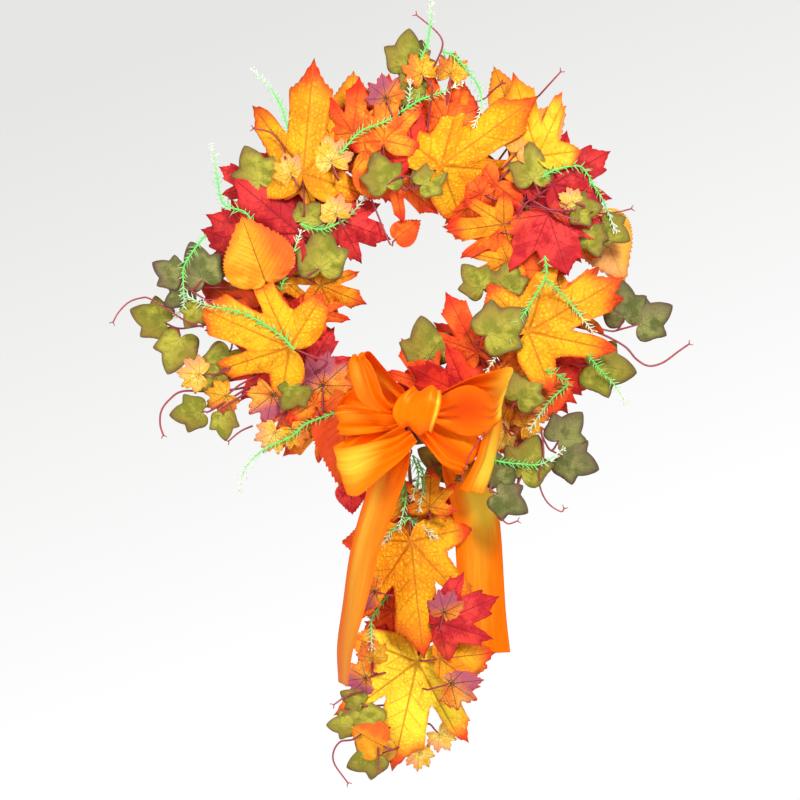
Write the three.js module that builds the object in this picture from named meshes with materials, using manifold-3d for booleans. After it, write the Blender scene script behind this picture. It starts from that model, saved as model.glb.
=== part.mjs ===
// A harvest door wreath: a twisted vine ring dressed with silk maple, birch and ivy leaves,
// a hanging swag of leaves below it and a satin ribbon bow where the two meet.
//
// Millimetres, +Z up. The wreath stands in the XZ plane and faces -Y; the door is at +Y.
// Everything is drawn about the centre of the ring and then moved, so that the origin is the
// point where the hanger loop rests on its hook.

import * as THREE from 'three';
import { mergeVertices } from 'three/addons/utils/BufferGeometryUtils.js';
import Module from 'manifold-3d';

const wasm = await Module();
wasm.setup();

// Driving dimensions
const RING_RADIUS = 130; // to the middle of the vine bundle
const STRAND_RADIUS = 5;
const STRAND_COUNT = 3;
const STRAND_OFFSET = 7; // from the middle of the bundle to the middle of a strand
const TWISTS = 4;
const BUNDLE_RADIUS = STRAND_OFFSET + STRAND_RADIUS;
const WIRE_RADIUS = 0.9;
const TIE_RADIUS = BUNDLE_RADIUS + 1.6;
const HANGER_RADIUS = 9;
const GARLAND_DEPTH = -17.5; // the wired stems of the garland lie along the front of the vine
const GARLAND_RADIUS = 1.6;
const SWAG_WIRE_RADIUS = 17.6; // the loose ring that the swag hangs from
const EYE_RADIUS = 3;
const LEAF_THICKNESS = 2.2;
const LEAF_GAP = 0.7;
const LAYER_STEP = 1;
const RIBBON_WIDTH = 50;
const RIBBON_THICKNESS = 1.2;
const KNOT = [7, -88, -109];

const ROUGH = { silk: 0.75, satin: 0.35, wire: 0.5, bark: 0.9 };
const PAINT = {
  yellow: 0xf2a80c,
  gold: 0xf09a10,
  orange: 0xf26a0e,
  red: 0xd2241a,
  crimson: 0xe0252e,
  salmon: 0xf5a04a,
  green: 0x6f7a2a,
  dark_green: 0x3f5a22,
  sprig: 0x6fd45a,
  vine: 0x5a3a22,
  stem: 0x8a4a20,
  wire: 0x6b4a3a,
  tendril: 0x9c2338,
  ribbon: 0xff7d0a,
};

const wreath = new THREE.Group();
const drawn = new THREE.Group();
wreath.add(drawn);

const degrees = (angle) => (angle * Math.PI) / 180;
const vector = ([x, y, z]) => new THREE.Vector3(x, y, z);

function finish(colour, kind) {
  return new THREE.MeshStandardMaterial({ color: PAINT[colour], roughness: ROUGH[kind], metalness: 0 });
}

function closed(geometry) {
  geometry.deleteAttribute('normal');
  geometry.deleteAttribute('uv');
  return mergeVertices(geometry, 1e-4);
}

function add(name, geometry, colour, kind) {
  const mesh = new THREE.Mesh(closed(geometry), finish(colour, kind));
  mesh.name = name;
  drawn.add(mesh);
  return mesh;
}

// ---------------------------------------------------------------- joining and testing solids

function toSolid(geometry) {
  return new wasm.Manifold(new wasm.Mesh({
    numProp: 3,
    vertProperties: new Float32Array(geometry.attributes.position.array),
    triVerts: new Uint32Array(geometry.index.array),
  }));
}

function toGeometry(solid) {
  const mesh = solid.getMesh();
  const geometry = new THREE.BufferGeometry();
  geometry.setAttribute('position', new THREE.BufferAttribute(mesh.vertProperties, 3));
  geometry.setIndex(new THREE.BufferAttribute(mesh.triVerts, 1));
  return geometry;
}

function joined(geometries) {
  return toGeometry(geometries.map((piece) => toSolid(closed(piece))).reduce((a, b) => a.add(b)));
}

function inPlace(mesh) {
  mesh.updateMatrix();
  const geometry = mesh.geometry.clone().applyMatrix4(mesh.matrix);
  geometry.computeBoundingBox();
  return geometry;
}

// Leaves are layered as a florist layers them, from the back to the front: each new one is
// brought forward until it lies clear of everything that is already there.
const layered = [];

function keep(mesh) {
  const geometry = inPlace(mesh);
  layered.push({ box: geometry.boundingBox, solid: toSolid(geometry) });
}

function touches(mesh) {
  const geometry = inPlace(mesh);
  const near = layered.filter((other) => other.box.intersectsBox(geometry.boundingBox));
  if (near.length === 0) {
    return false;
  }
  const solid = toSolid(geometry);
  return near.some((other) => !solid.intersect(other.solid).isEmpty());
}

function bringForward(mesh) {
  while (touches(mesh)) {
    mesh.position.y -= LAYER_STEP;
  }
  mesh.position.y -= LEAF_GAP;
  while (touches(mesh)) {
    mesh.position.y -= LAYER_STEP;
  }
  keep(mesh);
}

// A piece drawn flat in X and Z, tip up and facing -Y, is turned so that its tip points
// `points` degrees clockwise from straight up, then leans its tip and rolls its right edge
// towards the front.
function place(mesh, [x, y, z], points, lean = 0, roll = 0) {
  mesh.position.set(x, y, z);
  mesh.rotation.set(degrees(lean), degrees(points), degrees(-roll), 'YXZ');
  return mesh;
}

// ---------------------------------------------------------------- wires and rods

function rod(points, radius, steps, sides = 5) {
  const path = new THREE.CatmullRomCurve3(points.map(vector), false, 'centripetal');
  const section = new THREE.Shape();
  for (let i = 0; i < sides; i += 1) {
    const turn = (2 * Math.PI * i) / sides;
    const corner = [radius * Math.cos(turn), radius * Math.sin(turn)];
    if (i === 0) {
      section.moveTo(...corner);
    } else {
      section.lineTo(...corner);
    }
  }
  section.closePath();
  return new THREE.ExtrudeGeometry(section, { steps, bevelEnabled: false, extrudePath: path });
}

function onRing(turn, radius, y) {
  return [radius * Math.sin(turn), y, radius * Math.cos(turn)];
}

class Strand extends THREE.Curve {
  constructor(phase) {
    super();
    this.phase = phase;
  }

  getPoint(t) {
    const round = 2 * Math.PI * t;
    const twist = TWISTS * round + this.phase;
    const radius = RING_RADIUS + STRAND_OFFSET * Math.cos(twist);
    return vector(onRing(round, radius, STRAND_OFFSET * Math.sin(twist)));
  }
}

function vineRing() {
  for (let i = 0; i < STRAND_COUNT; i += 1) {
    const strand = new Strand((2 * Math.PI * i) / STRAND_COUNT);
    const tube = new THREE.TubeGeometry(strand, 56, STRAND_RADIUS, 5, true);
    keep(add(`vine_strand_${i + 1}`, tube, 'vine', 'bark'));
  }
}

// A ring of wire drawn round the vine at `turn` degrees clockwise from the top.
function wireRound(turn, radius) {
  const ring = new THREE.TorusGeometry(radius, WIRE_RADIUS, 5, 18);
  ring.rotateY(Math.PI / 2);
  ring.translate(0, 0, RING_RADIUS);
  ring.rotateY(degrees(turn));
  return ring;
}

function tieWires() {
  [-112, -34, 82].forEach((turn, i) => {
    keep(add(`tie_wire_${i + 1}`, wireRound(turn, TIE_RADIUS), 'wire', 'wire'));
  });
}

// The hanger is one wire: a turn round the top of the vine and a loop standing up behind it.
function hangerLoop() {
  const loop = new THREE.TorusGeometry(HANGER_RADIUS, WIRE_RADIUS, 6, 20);
  loop.rotateX(Math.PI / 2);
  loop.translate(0, TIE_RADIUS, RING_RADIUS + BUNDLE_RADIUS);
  keep(add('hanger_loop', joined([wireRound(0, TIE_RADIUS), loop]), 'wire', 'wire'));
}

// The garland's stem follows the vine all the way but for a gap at the bottom.
function garlandStem() {
  const points = [];
  for (let turn = -166; turn <= 166; turn += 16.6) {
    const wander = 3 * Math.sin(degrees(6 * turn));
    points.push(onRing(degrees(turn), RING_RADIUS + wander, GARLAND_DEPTH));
  }
  keep(add('garland_stem', rod(points, GARLAND_RADIUS, 48), 'stem', 'wire'));
}

// ---------------------------------------------------------------- leaves

// Half outlines, from the tip round to the base: degrees away from the tip and the distance
// from the place where the veins meet, as a share of the leaf's length.
const HALF_OUTLINE = {
  maple: [
    [9, 0.78], [22, 0.63], [28, 0.43], [37, 0.62], [43, 0.77],
    [54, 0.58], [76, 0.38], [101, 0.47], [120, 0.3], [152, 0.18],
  ],
  ivy: [[18, 0.7], [40, 0.74], [62, 0.56], [88, 0.58], [118, 0.4], [155, 0.2]],
  birch: [[8, 0.8], [17, 0.66], [29, 0.55], [45, 0.44], [68, 0.31], [105, 0.16]],
};

function leafOutline(kind, stalk) {
  const half = HALF_OUTLINE[kind];
  const foot = [[178.2, stalk]];
  const right = [...half, ...foot].reverse();
  const left = [...half, ...foot].map(([angle, reach]) => [-angle, reach]);
  return [...right, [0, 1], ...left];
}

// A leaf is a thin lens: a fan of flat faces from the meeting of its veins to a half-way ring
// and on to the edge, front and back. Its edges and tip droop to the back, and its stalk, which
// is part of the same moulding, curls back towards the vine.
const ROWS = [[0, 1], [0.6, 0.85], [1, 0], [0.6, -0.85], [0, -1]];

function leafGeometry(kind, length, { broad = 1, droop = 0.1, cup = 0.1, stalk = 0.34 } = {}) {
  const outline = leafOutline(kind, stalk);
  const count = outline.length;
  const geometry = new THREE.SphereGeometry(1, count, ROWS.length - 1);
  const position = geometry.attributes.position;
  for (let i = 0; i < position.count; i += 1) {
    const [angle, reach] = outline[i % (count + 1) % count];
    const [share, side] = ROWS[Math.floor(i / (count + 1))];
    const across = share * reach * Math.sin(degrees(angle)) * broad;
    const along = share * reach * Math.cos(degrees(angle));
    const bend = along > 0 ? droop * along * along : 1.2 * along * along;
    const back = bend + cup * across * across;
    const thick = (side * LEAF_THICKNESS) / 2;
    position.setXYZ(i, across * length, back * length - thick, along * length);
  }
  return geometry;
}

// name, kind, colour, where its veins meet, which way it points, length, lean, roll, shape
const BACK = 2;
const FRONT = -24;
const RING_LEAVES = [
  ['leaf_birch_top', 'birch', 'gold', [-52, BACK, 147], 2, 54, -14, 4, { broad: 1.15 }],
  ['leaf_birch_crown', 'birch', 'orange', [94, BACK, 158], -19, 49, -12, -6, { broad: 0.95 }],
  ['leaf_birch_outer_right', 'birch', 'salmon', [172, BACK, 62], 156, 60, -8, 10, { broad: 0.95 }],
  ['leaf_birch_upper_right', 'birch', 'gold', [100, FRONT, 124], 46, 60, -12, 4, { broad: 1.2 }],
  ['leaf_maple_dark_top', 'maple', 'red', [4, FRONT, 115], -4, 70, -8, -8, { broad: 0.9 }],
  ['leaf_maple_orange_top', 'maple', 'orange', [-50, FRONT, 139], 6, 52, -4, 8, { broad: 1.05 }],
  ['leaf_maple_red_left', 'maple', 'red', [-136, FRONT, 36], -72, 62, -16, 4, {}],
  ['leaf_maple_red_upper_left', 'maple', 'crimson', [-97, FRONT, 48], -50, 80, -6, -6, {}],
  ['leaf_maple_yellow_upper_left', 'maple', 'yellow', [-94, FRONT, 102], 4, 105, -10, 8, {}],
  ['leaf_maple_pink_inner', 'maple', 'crimson', [-62, FRONT, 60], 108, 56, -12, 4, {}],
  ['leaf_birch_left', 'birch', 'orange', [-129, FRONT, 8], -20, 62, 10, 6, { broad: 1.35 }],
  ['leaf_maple_inner_left', 'maple', 'gold', [-79, FRONT, 2], 112, 46, -10, -8, {}],
  ['leaf_maple_yellow_left', 'maple', 'yellow', [-106, FRONT, -54], -67, 100, -8, 8, {}],
  ['leaf_maple_red_upper_right', 'maple', 'crimson', [130, FRONT, 93], 58, 66, -14, 8, {}],
  ['leaf_maple_orange_inner', 'maple', 'orange', [78, FRONT, 93], -132, 60, -10, 6, {}],
  ['leaf_maple_yellow_upper_right', 'maple', 'yellow', [29, FRONT, 108], 54, 112, -6, -8, {}],
  ['leaf_maple_yellow_inner_right', 'maple', 'gold', [86, FRONT, 57], -98, 52, 4, 10, {}],
  ['leaf_maple_red_right', 'maple', 'red', [126, FRONT, 66], 162, 68, 6, 6, {}],
  ['leaf_maple_yellow_right', 'maple', 'yellow', [107, FRONT, -40], 60, 102, -8, 6, {}],
  ['leaf_maple_orange_lower_right', 'maple', 'orange', [80, FRONT, -76], -52, 74, -6, 4, {}],
  ['leaf_maple_red_bottom', 'maple', 'red', [54, FRONT, -98], -64, 60, 4, 4, {}],
  ['leaf_birch_lower_right', 'birch', 'orange', [110, FRONT, -103], 58, 52, -10, 4, { broad: 1.1 }],
  ['leaf_birch_bottom_left', 'birch', 'orange', [-57, FRONT, -101], 180, 84, -4, 4, {}],
];

const SWAG_BACK = -22;
const SWAG_LEAVES = [
  ['swag_leaf_red_left', 'maple', 'crimson', [0, SWAG_BACK, -322], -62, 46, -8, 6, {}],
  ['swag_leaf_red_right', 'maple', 'red', [27, SWAG_BACK - 30, -299], 66, 58, 4, 6, {}],
  ['swag_leaf_gold_top', 'maple', 'gold', [8, SWAG_BACK - 12, -186], 184, 38, 4, 6, {}],
  ['swag_leaf_yellow_bottom', 'maple', 'yellow', [8, SWAG_BACK - 8, -335], 192, 98, 0, 4, {}],
  ['swag_leaf_yellow_middle', 'maple', 'yellow', [2, SWAG_BACK, -227], 174, 98, 5, -4, {}],
];

function leaf([name, kind, colour, at, points, length, lean, roll, shape]) {
  const mesh = add(name, leafGeometry(kind, length, shape), colour, 'silk');
  place(mesh, at, points, lean, roll);
  bringForward(mesh);
}

// ---------------------------------------------------------------- sprays

// A spray is several small leaves moulded on one wired stem. It is drawn where it lies.
function spray(name, kind, colour, depth, leaves, stems) {
  const pieces = leaves.map(([x, z, points, length]) => {
    const mesh = new THREE.Mesh(leafGeometry(kind, length, { stalk: 0.25, droop: 0.06, cup: 0.06 }));
    place(mesh, [x, depth, z], points);
    mesh.updateMatrix();
    return mesh.geometry.applyMatrix4(mesh.matrix);
  });
  const wires = stems.map((points) => {
    const route = points.map(([x, z, y = depth]) => [x, y, z]);
    return rod(route, 1.1, 3 * (points.length - 1), 4);
  });
  const mesh = add(name, joined([...pieces, ...wires]), colour, 'silk');
  bringForward(mesh);
}

function ivySprays() {
  spray('ivy_inner_left', 'ivy', 'green', FRONT, [[-79, 17, 4, 40]], [[[-79, 17], [-92, 10]]]);
  spray('ivy_inner_top', 'ivy', 'green', FRONT,
    [[-20, 92, -20, 32], [14, 94, 30, 26]], [[[-20, 92], [-4, 100], [14, 94]]]);
  spray('ivy_top', 'ivy', 'green', FRONT, [[-2, 200, 5, 34], [2, 172, -10, 28]],
    [[[-2, 200], [4, 186], [2, 172], [8, 150]]]);
  spray('ivy_upper_right', 'ivy', 'green', FRONT, [[112, 98, -5, 34]], [[[112, 98], [118, 84]]]);
  spray('ivy_inner_right', 'ivy', 'green', FRONT,
    [[66, 0, -40, 28], [88, -2, 10, 30]], [[[66, 0], [78, -8], [88, -2]], [[78, -8], [96, -14]]]);
  spray('ivy_inner_bottom', 'ivy', 'green', FRONT, [[18, -62, -10, 38]], [[[18, -62], [36, -76]]]);
  spray('ivy_outer_right', 'ivy', 'dark_green', -6,
    [[196, -26, -8, 36], [210, -32, 60, 34]],
    [[[196, -26], [188, -38], [172, -36], [152, -32]], [[188, -38], [210, -32]]]);
  spray('ivy_lower_right', 'ivy', 'dark_green', -26,
    [[136, -136, 40, 32], [140, -152, 110, 34]],
    [[[136, -136], [128, -146], [118, -128], [112, -116]], [[128, -146], [140, -152]]]);
  spray('ivy_outer_left', 'ivy', 'green', -8,
    [[-222, -30, -70, 32], [-206, -46, -160, 34]],
    [[[-222, -30], [-208, -36], [-190, -34], [-152, -28]], [[-208, -36], [-206, -46]]]);
  spray('ivy_left', 'ivy', 'green', FRONT,
    [[-184, 8, -20, 36], [-208, 10, -60, 26]], [[[-184, 8], [-196, -2], [-208, 10]], [[-196, -2], [-168, -20]]]);
}

// Tendrils and sprigs are plastic-coated wire, stiff enough to stand out from the wreath.
function tendrils() {
  const left = [
    [-140, -4, -87], [-156, -8, -91], [-180, -12, -93], [-204, -14, -93],
    [-216, -14, -101], [-223, -13, -111], [-224, -12, -123], [-221, -12, -133],
  ];
  keep(add('tendril_left', rod(left, 1, 14, 4), 'tendril', 'wire'));
  const right = [
    [150, -6, -34], [172, -8, -40], [195, -10, -52], [206, -12, -64],
    [217, -12, -70], [230, -11, -67], [244, -10, -57], [254, -10, -50],
  ];
  keep(add('tendril_right', rod(right, 1, 14, 4), 'tendril', 'wire'));
}

function sprigs() {
  const left = rod([
    [-138, 0, 56], [-147, 0, 68], [-160, 0, 72], [-167, 0, 77],
    [-170, 0, 88], [-173, 0, 108], [-176, 0, 126],
  ], 1, 11, 4);
  bringForward(place(add('sprig_left', left, 'sprig', 'wire'), [0, FRONT, 0], 0));
  const right = rod([
    [122, 0, 28], [123, 0, 10], [112, 0, -10], [98, 0, -32], [84, 0, -54], [72, 0, -72],
  ], 1, 11, 4);
  bringForward(place(add('sprig_right', right, 'sprig', 'wire'), [0, FRONT, 0], 0));
}

// ---------------------------------------------------------------- ribbon

const LOOP_PROFILE = [[0, 0], [0.05, 0.2], [0.32, 0.4], [0.66, 0.5], [0.9, 0.36], [1, 0]];

// A bow loop is a band of ribbon that leaves the knot, turns over and comes back behind itself.
// It is pinched to a quarter of its width at the knot.
function bowLoop(name, points, length, height, lean, roll) {
  const front = LOOP_PROFILE.map(([out, rise]) => [out * length, -rise * height]);
  const back = LOOP_PROFILE.slice(1, -1).reverse().map(([out, rise]) => [out * length, rise * height]);
  const ring = [...front, ...back];
  const count = ring.length;
  const geometry = new THREE.TorusGeometry(1, 0.5, 4, count);
  const position = geometry.attributes.position;
  const corners = [[-1, -1], [1, -1], [1, 1], [-1, 1]];
  for (let i = 0; i < position.count; i += 1) {
    const step = (i % (count + 1)) % count;
    const [across, out] = corners[Math.floor(i / (count + 1)) % 4];
    const [z, y] = ring[step];
    const [zBefore, yBefore] = ring[(step + count - 1) % count];
    const [zAfter, yAfter] = ring[(step + 1) % count];
    const along = new THREE.Vector2(zAfter - zBefore, yAfter - yBefore).normalize();
    const shift = (out * RIBBON_THICKNESS) / 2;
    const width = RIBBON_WIDTH * Math.min(1, 0.26 + (1.1 * z) / length);
    position.setXYZ(i, (across * width) / 2, y - along.x * shift, z + along.y * shift);
  }
  const mesh = add(name, geometry, 'ribbon', 'satin');
  place(mesh, [KNOT[0], -58, KNOT[2]], points, lean, roll);
  mesh.translateZ(6);
  bringForward(mesh);
}

function bowKnot() {
  const knot = new THREE.SphereGeometry(1, 10, 7);
  knot.scale(19, 9, 20);
  const mesh = add('bow_knot', knot, 'ribbon', 'satin');
  place(mesh, KNOT, 20);
  bringForward(mesh);
}

// A tail is a flat strip that hangs from the knot. It opens out from the pinch at the knot to
// the ribbon's full width, and turns about its own length as it falls.
function ribbonTail(name, route, [turnAtTop, turnAtEnd]) {
  const path = new THREE.CatmullRomCurve3(route.map(vector));
  const geometry = new THREE.BoxGeometry(1, 1, 1, 4, 1, 14);
  const position = geometry.attributes.position;
  for (let i = 0; i < position.count; i += 1) {
    const down = 0.5 - position.getZ(i);
    const middle = path.getPointAt(down);
    const open = THREE.MathUtils.smoothstep(down, -0.1, 0.32);
    const across = position.getX(i) * RIBBON_WIDTH * THREE.MathUtils.lerp(0.25, 1, open);
    const through = position.getY(i) * RIBBON_THICKNESS;
    const turn = degrees(THREE.MathUtils.lerp(turnAtTop, turnAtEnd, down));
    position.setXYZ(
      i,
      middle.x + across * Math.cos(turn) - through * Math.sin(turn),
      middle.y + across * Math.sin(turn) + through * Math.cos(turn),
      middle.z,
    );
  }
  keep(add(name, geometry, 'ribbon', 'satin'));
}

function bow() {
  bowLoop('bow_loop_left', -82, 62, 15, 0, 0);
  bowLoop('bow_loop_lower_right', 128, 58, 15, 0, 0);
  bowLoop('bow_loop_upper_left', -44, 60, 15, 0, 0);
  bowLoop('bow_loop_right', 70, 88, 18, 0, 0);
  bowLoop('bow_loop_lower_left', -132, 70, 16, 0, 0);
  bowKnot();
}

// The left tail hangs from the front of the knot, clear of the swag.
function leftTail() {
  const route = [[-4, -70, -130], [-12, -70, -162], [-36, -70, -232], [-53, -70, -305], [-57, -70, -352]];
  ribbonTail('ribbon_tail_left', route, [-8, -72]);
}

// The right tail hangs from the back of the knot, behind the leaves of the swag.
function rightTail() {
  const route = [[32, -38, -136], [46, -30, -174], [66, -22, -240], [71, -20, -300], [72, -20, -330]];
  ribbonTail('ribbon_tail_right', route, [-10, -52]);
}

// ---------------------------------------------------------------- swag

// The swag hangs on a loose ring of wire round the bottom of the vine, by an eye bent in the
// top of its stem.
function swag() {
  const top = -RING_RADIUS - SWAG_WIRE_RADIUS;
  keep(add('swag_ring_wire', wireRound(180, SWAG_WIRE_RADIUS), 'wire', 'wire'));
  const eye = new THREE.TorusGeometry(EYE_RADIUS, WIRE_RADIUS, 6, 14);
  eye.rotateX(Math.PI / 2);
  eye.translate(0, 0, top);
  const stem = rod([
    [0, 0, top - EYE_RADIUS],
    [1, -4, top - 16],
    [4, -14, top - 50],
    [8, -16, top - 120],
    [10, -16, top - 180],
    [6, -15, top - 230],
    [2, -14, top - 262],
  ], 1.7, 16, 6);
  keep(add('swag_stem', joined([eye, stem]), 'stem', 'wire'));
}

vineRing();
tieWires();
hangerLoop();
garlandStem();
swag();
RING_LEAVES.forEach(leaf);
ivySprays();
tendrils();
sprigs();
rightTail();
SWAG_LEAVES.forEach(leaf);
leftTail();
bow();

const hook = [0, TIE_RADIUS, RING_RADIUS + BUNDLE_RADIUS + HANGER_RADIUS - WIRE_RADIUS];
drawn.position.copy(vector(hook).negate());

export default wreath;
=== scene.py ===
"""The looks of a harvest door wreath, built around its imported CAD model.

The wreath faces -Y and hangs with +Z up. Lengths in the lists below are millimetres from the
centre of the vine ring: x to the right, y to the back and z up.
"""

import math
import random

import bpy
import numpy as np
from mathutils import Matrix, Vector
from mathutils.bvhtree import BVHTree


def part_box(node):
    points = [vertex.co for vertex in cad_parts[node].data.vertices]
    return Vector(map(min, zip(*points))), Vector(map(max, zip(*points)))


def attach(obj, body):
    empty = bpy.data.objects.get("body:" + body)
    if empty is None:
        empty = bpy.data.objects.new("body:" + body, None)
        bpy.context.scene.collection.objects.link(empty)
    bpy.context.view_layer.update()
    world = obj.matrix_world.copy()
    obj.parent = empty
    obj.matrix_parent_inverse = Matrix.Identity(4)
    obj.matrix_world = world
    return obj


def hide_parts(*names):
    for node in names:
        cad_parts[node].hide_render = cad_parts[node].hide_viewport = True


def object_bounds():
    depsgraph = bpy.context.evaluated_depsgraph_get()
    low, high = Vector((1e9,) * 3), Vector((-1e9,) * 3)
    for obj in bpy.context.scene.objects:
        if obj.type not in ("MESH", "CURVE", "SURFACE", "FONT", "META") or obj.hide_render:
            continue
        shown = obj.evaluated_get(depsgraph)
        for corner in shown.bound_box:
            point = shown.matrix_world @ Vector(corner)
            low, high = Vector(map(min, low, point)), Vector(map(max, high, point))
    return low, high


MM = 0.001
VIEW_WIDTH = 0.72  # metres across the picture, at the depth of the leaves
CAMERA_DISTANCE = 3.0
CAMERA_LEFT = 8.7 * MM  # of the CAD model's middle
CAMERA_DOWN = 2.4 * MM
LEAF_DEPTH = -0.035
CLOTH = 0.35 * MM  # thickness of a silk leaf
SATIN = 0.3 * MM
RIBBON_WIDTH = 50
VINE_RADIUS = 130  # of the ring, to its middle
VINE_TWIST = 7  # how far each strand winds about that circle
STEM_DEPTH = -16  # of the garland's stem, which stalks are wired to
TWIST_ROUND = 4  # times that the strands wind about each other

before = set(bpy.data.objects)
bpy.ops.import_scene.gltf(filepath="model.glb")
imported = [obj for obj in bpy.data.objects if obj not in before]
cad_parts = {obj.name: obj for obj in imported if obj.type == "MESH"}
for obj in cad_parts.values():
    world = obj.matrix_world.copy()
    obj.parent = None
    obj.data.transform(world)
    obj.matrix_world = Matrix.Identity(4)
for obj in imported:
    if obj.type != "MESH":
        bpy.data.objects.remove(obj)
cad_low, cad_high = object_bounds()
ring_low, ring_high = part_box("vine_strand_1")
RING = (ring_low + ring_high) / 2


def at(x, y, z):
    """A point given in millimetres from the ring's centre, in the row frame."""
    return RING + Vector((x, y, z)) * MM


def camera():
    middle = (cad_low + cad_high) / 2
    data = bpy.data.cameras.new("camera")
    data.sensor_width = 36
    data.lens = data.sensor_width * CAMERA_DISTANCE / VIEW_WIDTH
    view = bpy.data.objects.new("camera", data)
    view.location = (middle.x - CAMERA_LEFT, LEAF_DEPTH - CAMERA_DISTANCE, middle.z - CAMERA_DOWN)
    view.rotation_euler = (math.radians(90), 0, 0)
    bpy.context.scene.collection.objects.link(view)
    bpy.context.scene.camera = view


camera()


# ------------------------------------------------------------------------------ materials


def colour(code):
    """A linear colour from a web colour such as "f2a81c"."""
    shares = [int(code[i : i + 2], 16) / 255 for i in (0, 2, 4)]
    linear = [s / 12.92 if s <= 0.04045 else ((s + 0.055) / 1.055) ** 2.4 for s in shares]
    return (*linear, 1)


class Tree:
    """Adds nodes to a material's or a world's tree."""

    def __init__(self, tree):
        self.tree = tree

    def put(self, socket, value):
        if isinstance(value, bpy.types.NodeSocket):
            self.tree.links.new(value, socket)
        else:
            socket.default_value = value

    def add(self, kind, *values, **settings):
        node = self.tree.nodes.new("ShaderNode" + kind)
        for key, value in settings.items():
            setattr(node, key, value)
        for socket, value in zip(node.inputs, values):
            if value is not None:
                self.put(socket, value)
        return node

    def math(self, operation, *values):
        return self.add("Math", *values, operation=operation).outputs[0]

    def total(self, *values):
        result = values[0]
        for value in values[1:]:
            result = self.math("ADD", result, value)
        return result

    def times(self, a, b):
        return self.math("MULTIPLY", a, b)

    def ramp(self, value, low, high, start=0.0, end=1.0):
        """Goes smoothly from start to end as value goes from low to high."""
        node = self.add("MapRange", value, low, high, start, end, interpolation_type="SMOOTHSTEP")
        return node.outputs[0]

    def mix(self, factor, a, b, blend="MIX"):
        node = self.add("Mix", data_type="RGBA", blend_type=blend)
        self.put(node.inputs[0], factor)
        self.put(node.inputs[6], a)
        self.put(node.inputs[7], b)
        return node.outputs[2]

    def attribute(self, name):
        """The three numbers that the mesh stores at each point under that name."""
        vector = self.add("Attribute", attribute_name=name).outputs["Vector"]
        parts = self.add("SeparateXYZ", vector).outputs
        return parts[0], parts[1], parts[2], vector

    def scaled(self, vector, *scale):
        return self.add("VectorMath", vector, scale, operation="MULTIPLY").outputs[0]

    def noise(self, vector, scale, detail=2.0):
        node = self.add("TexNoise", vector)
        node.inputs["Scale"].default_value = scale
        node.inputs["Detail"].default_value = detail
        return node.outputs[0]

    def cells(self, vector, scale):
        """How far each point is from the edge of its cell."""
        node = self.add("TexVoronoi", vector, feature="DISTANCE_TO_EDGE")
        node.inputs["Scale"].default_value = scale
        return node.outputs["Distance"]


class Nodes(Tree):
    """Builds one material."""

    def __init__(self, name, **shader):
        self.material = bpy.data.materials.new(name)
        self.material.use_nodes = True
        super().__init__(self.material.node_tree)
        self.shader = self.tree.nodes["Principled BSDF"]
        for socket, value in shader.items():
            self.shader.inputs[socket.replace("_", " ")].default_value = value

    def finish(self, base, height, depth, strength=1.0, roughness=None):
        bump = self.add("Bump")
        bump.inputs["Strength"].default_value = strength
        bump.inputs["Distance"].default_value = depth
        self.put(bump.inputs["Height"], height)
        self.put(self.shader.inputs["Normal"], bump.outputs[0])
        self.put(self.shader.inputs["Base Color"], base)
        if roughness is not None:
            self.put(self.shader.inputs["Roughness"], roughness)
        return self.material


# Where the main veins run, in degrees from the tip, for each kind of leaf
VEINS = {
    "maple": (0, 41, 98),
    "pointed": (0, 41, 101),
    "star": (0, 39, 82, 126),
    "ivy": (0, 53, 107),
    "birch": (0,),
}
PALE_YELLOW = "ffe436"  # of the palest maple leaves


def nearest_vein(n, kind, x, y):
    """How far to the side of its nearest main vein a point lies, and how far along it."""
    angle = n.math("DEGREES", n.math("ARCTAN2", n.math("ABSOLUTE", x), y))
    angle = n.math("ABSOLUTE", angle)
    turned = angle
    angles = VEINS[kind]
    for before, after in zip(angles, angles[1:]):
        past = n.math("GREATER_THAN", angle, (before + after) / 2)
        turned = n.math("SUBTRACT", turned, n.times(past, after - before))
    radius = n.math("SQRT", n.total(n.times(x, x), n.times(y, y)))
    turned = n.math("RADIANS", turned)
    side = n.math("ABSOLUTE", n.times(radius, n.math("SINE", turned)))
    along = n.times(radius, n.math("COSINE", turned))
    return side, along, radius


def pressed_pattern(n, kind, x, y, spot, share, cells, chevrons):
    """The puffed cells and the veins that are pressed into a leaf, and how far out each point is."""
    side, along, radius = nearest_vein(n, kind, x, y)
    swirl = n.scaled(n.add("TexNoise", spot).outputs[1], 0.06, 0.06, 0.06)
    wobble = n.add("VectorMath", spot, swirl, operation="ADD").outputs[0]
    puffed = n.ramp(n.cells(wobble, cells), 0.0, 0.32)
    main_width = n.total(0.004, n.times(n.math("SUBTRACT", 1.0, share), 0.006))
    main = n.math("SUBTRACT", 1.0, n.ramp(n.math("DIVIDE", side, main_width), 0.6, 1.5))
    phase = n.math("FRACT", n.times(n.math("SUBTRACT", along, n.times(side, 0.85)), chevrons))
    line = n.math("MINIMUM", phase, n.math("SUBTRACT", 1.0, phase))
    small = n.math("SUBTRACT", 1.0, n.ramp(line, 0.02, 0.075))
    small = n.times(small, n.ramp(share, 1.0, 0.6, 0.0, 0.8))
    return puffed, n.math("MAXIMUM", main, n.times(small, 0.7)), radius


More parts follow.
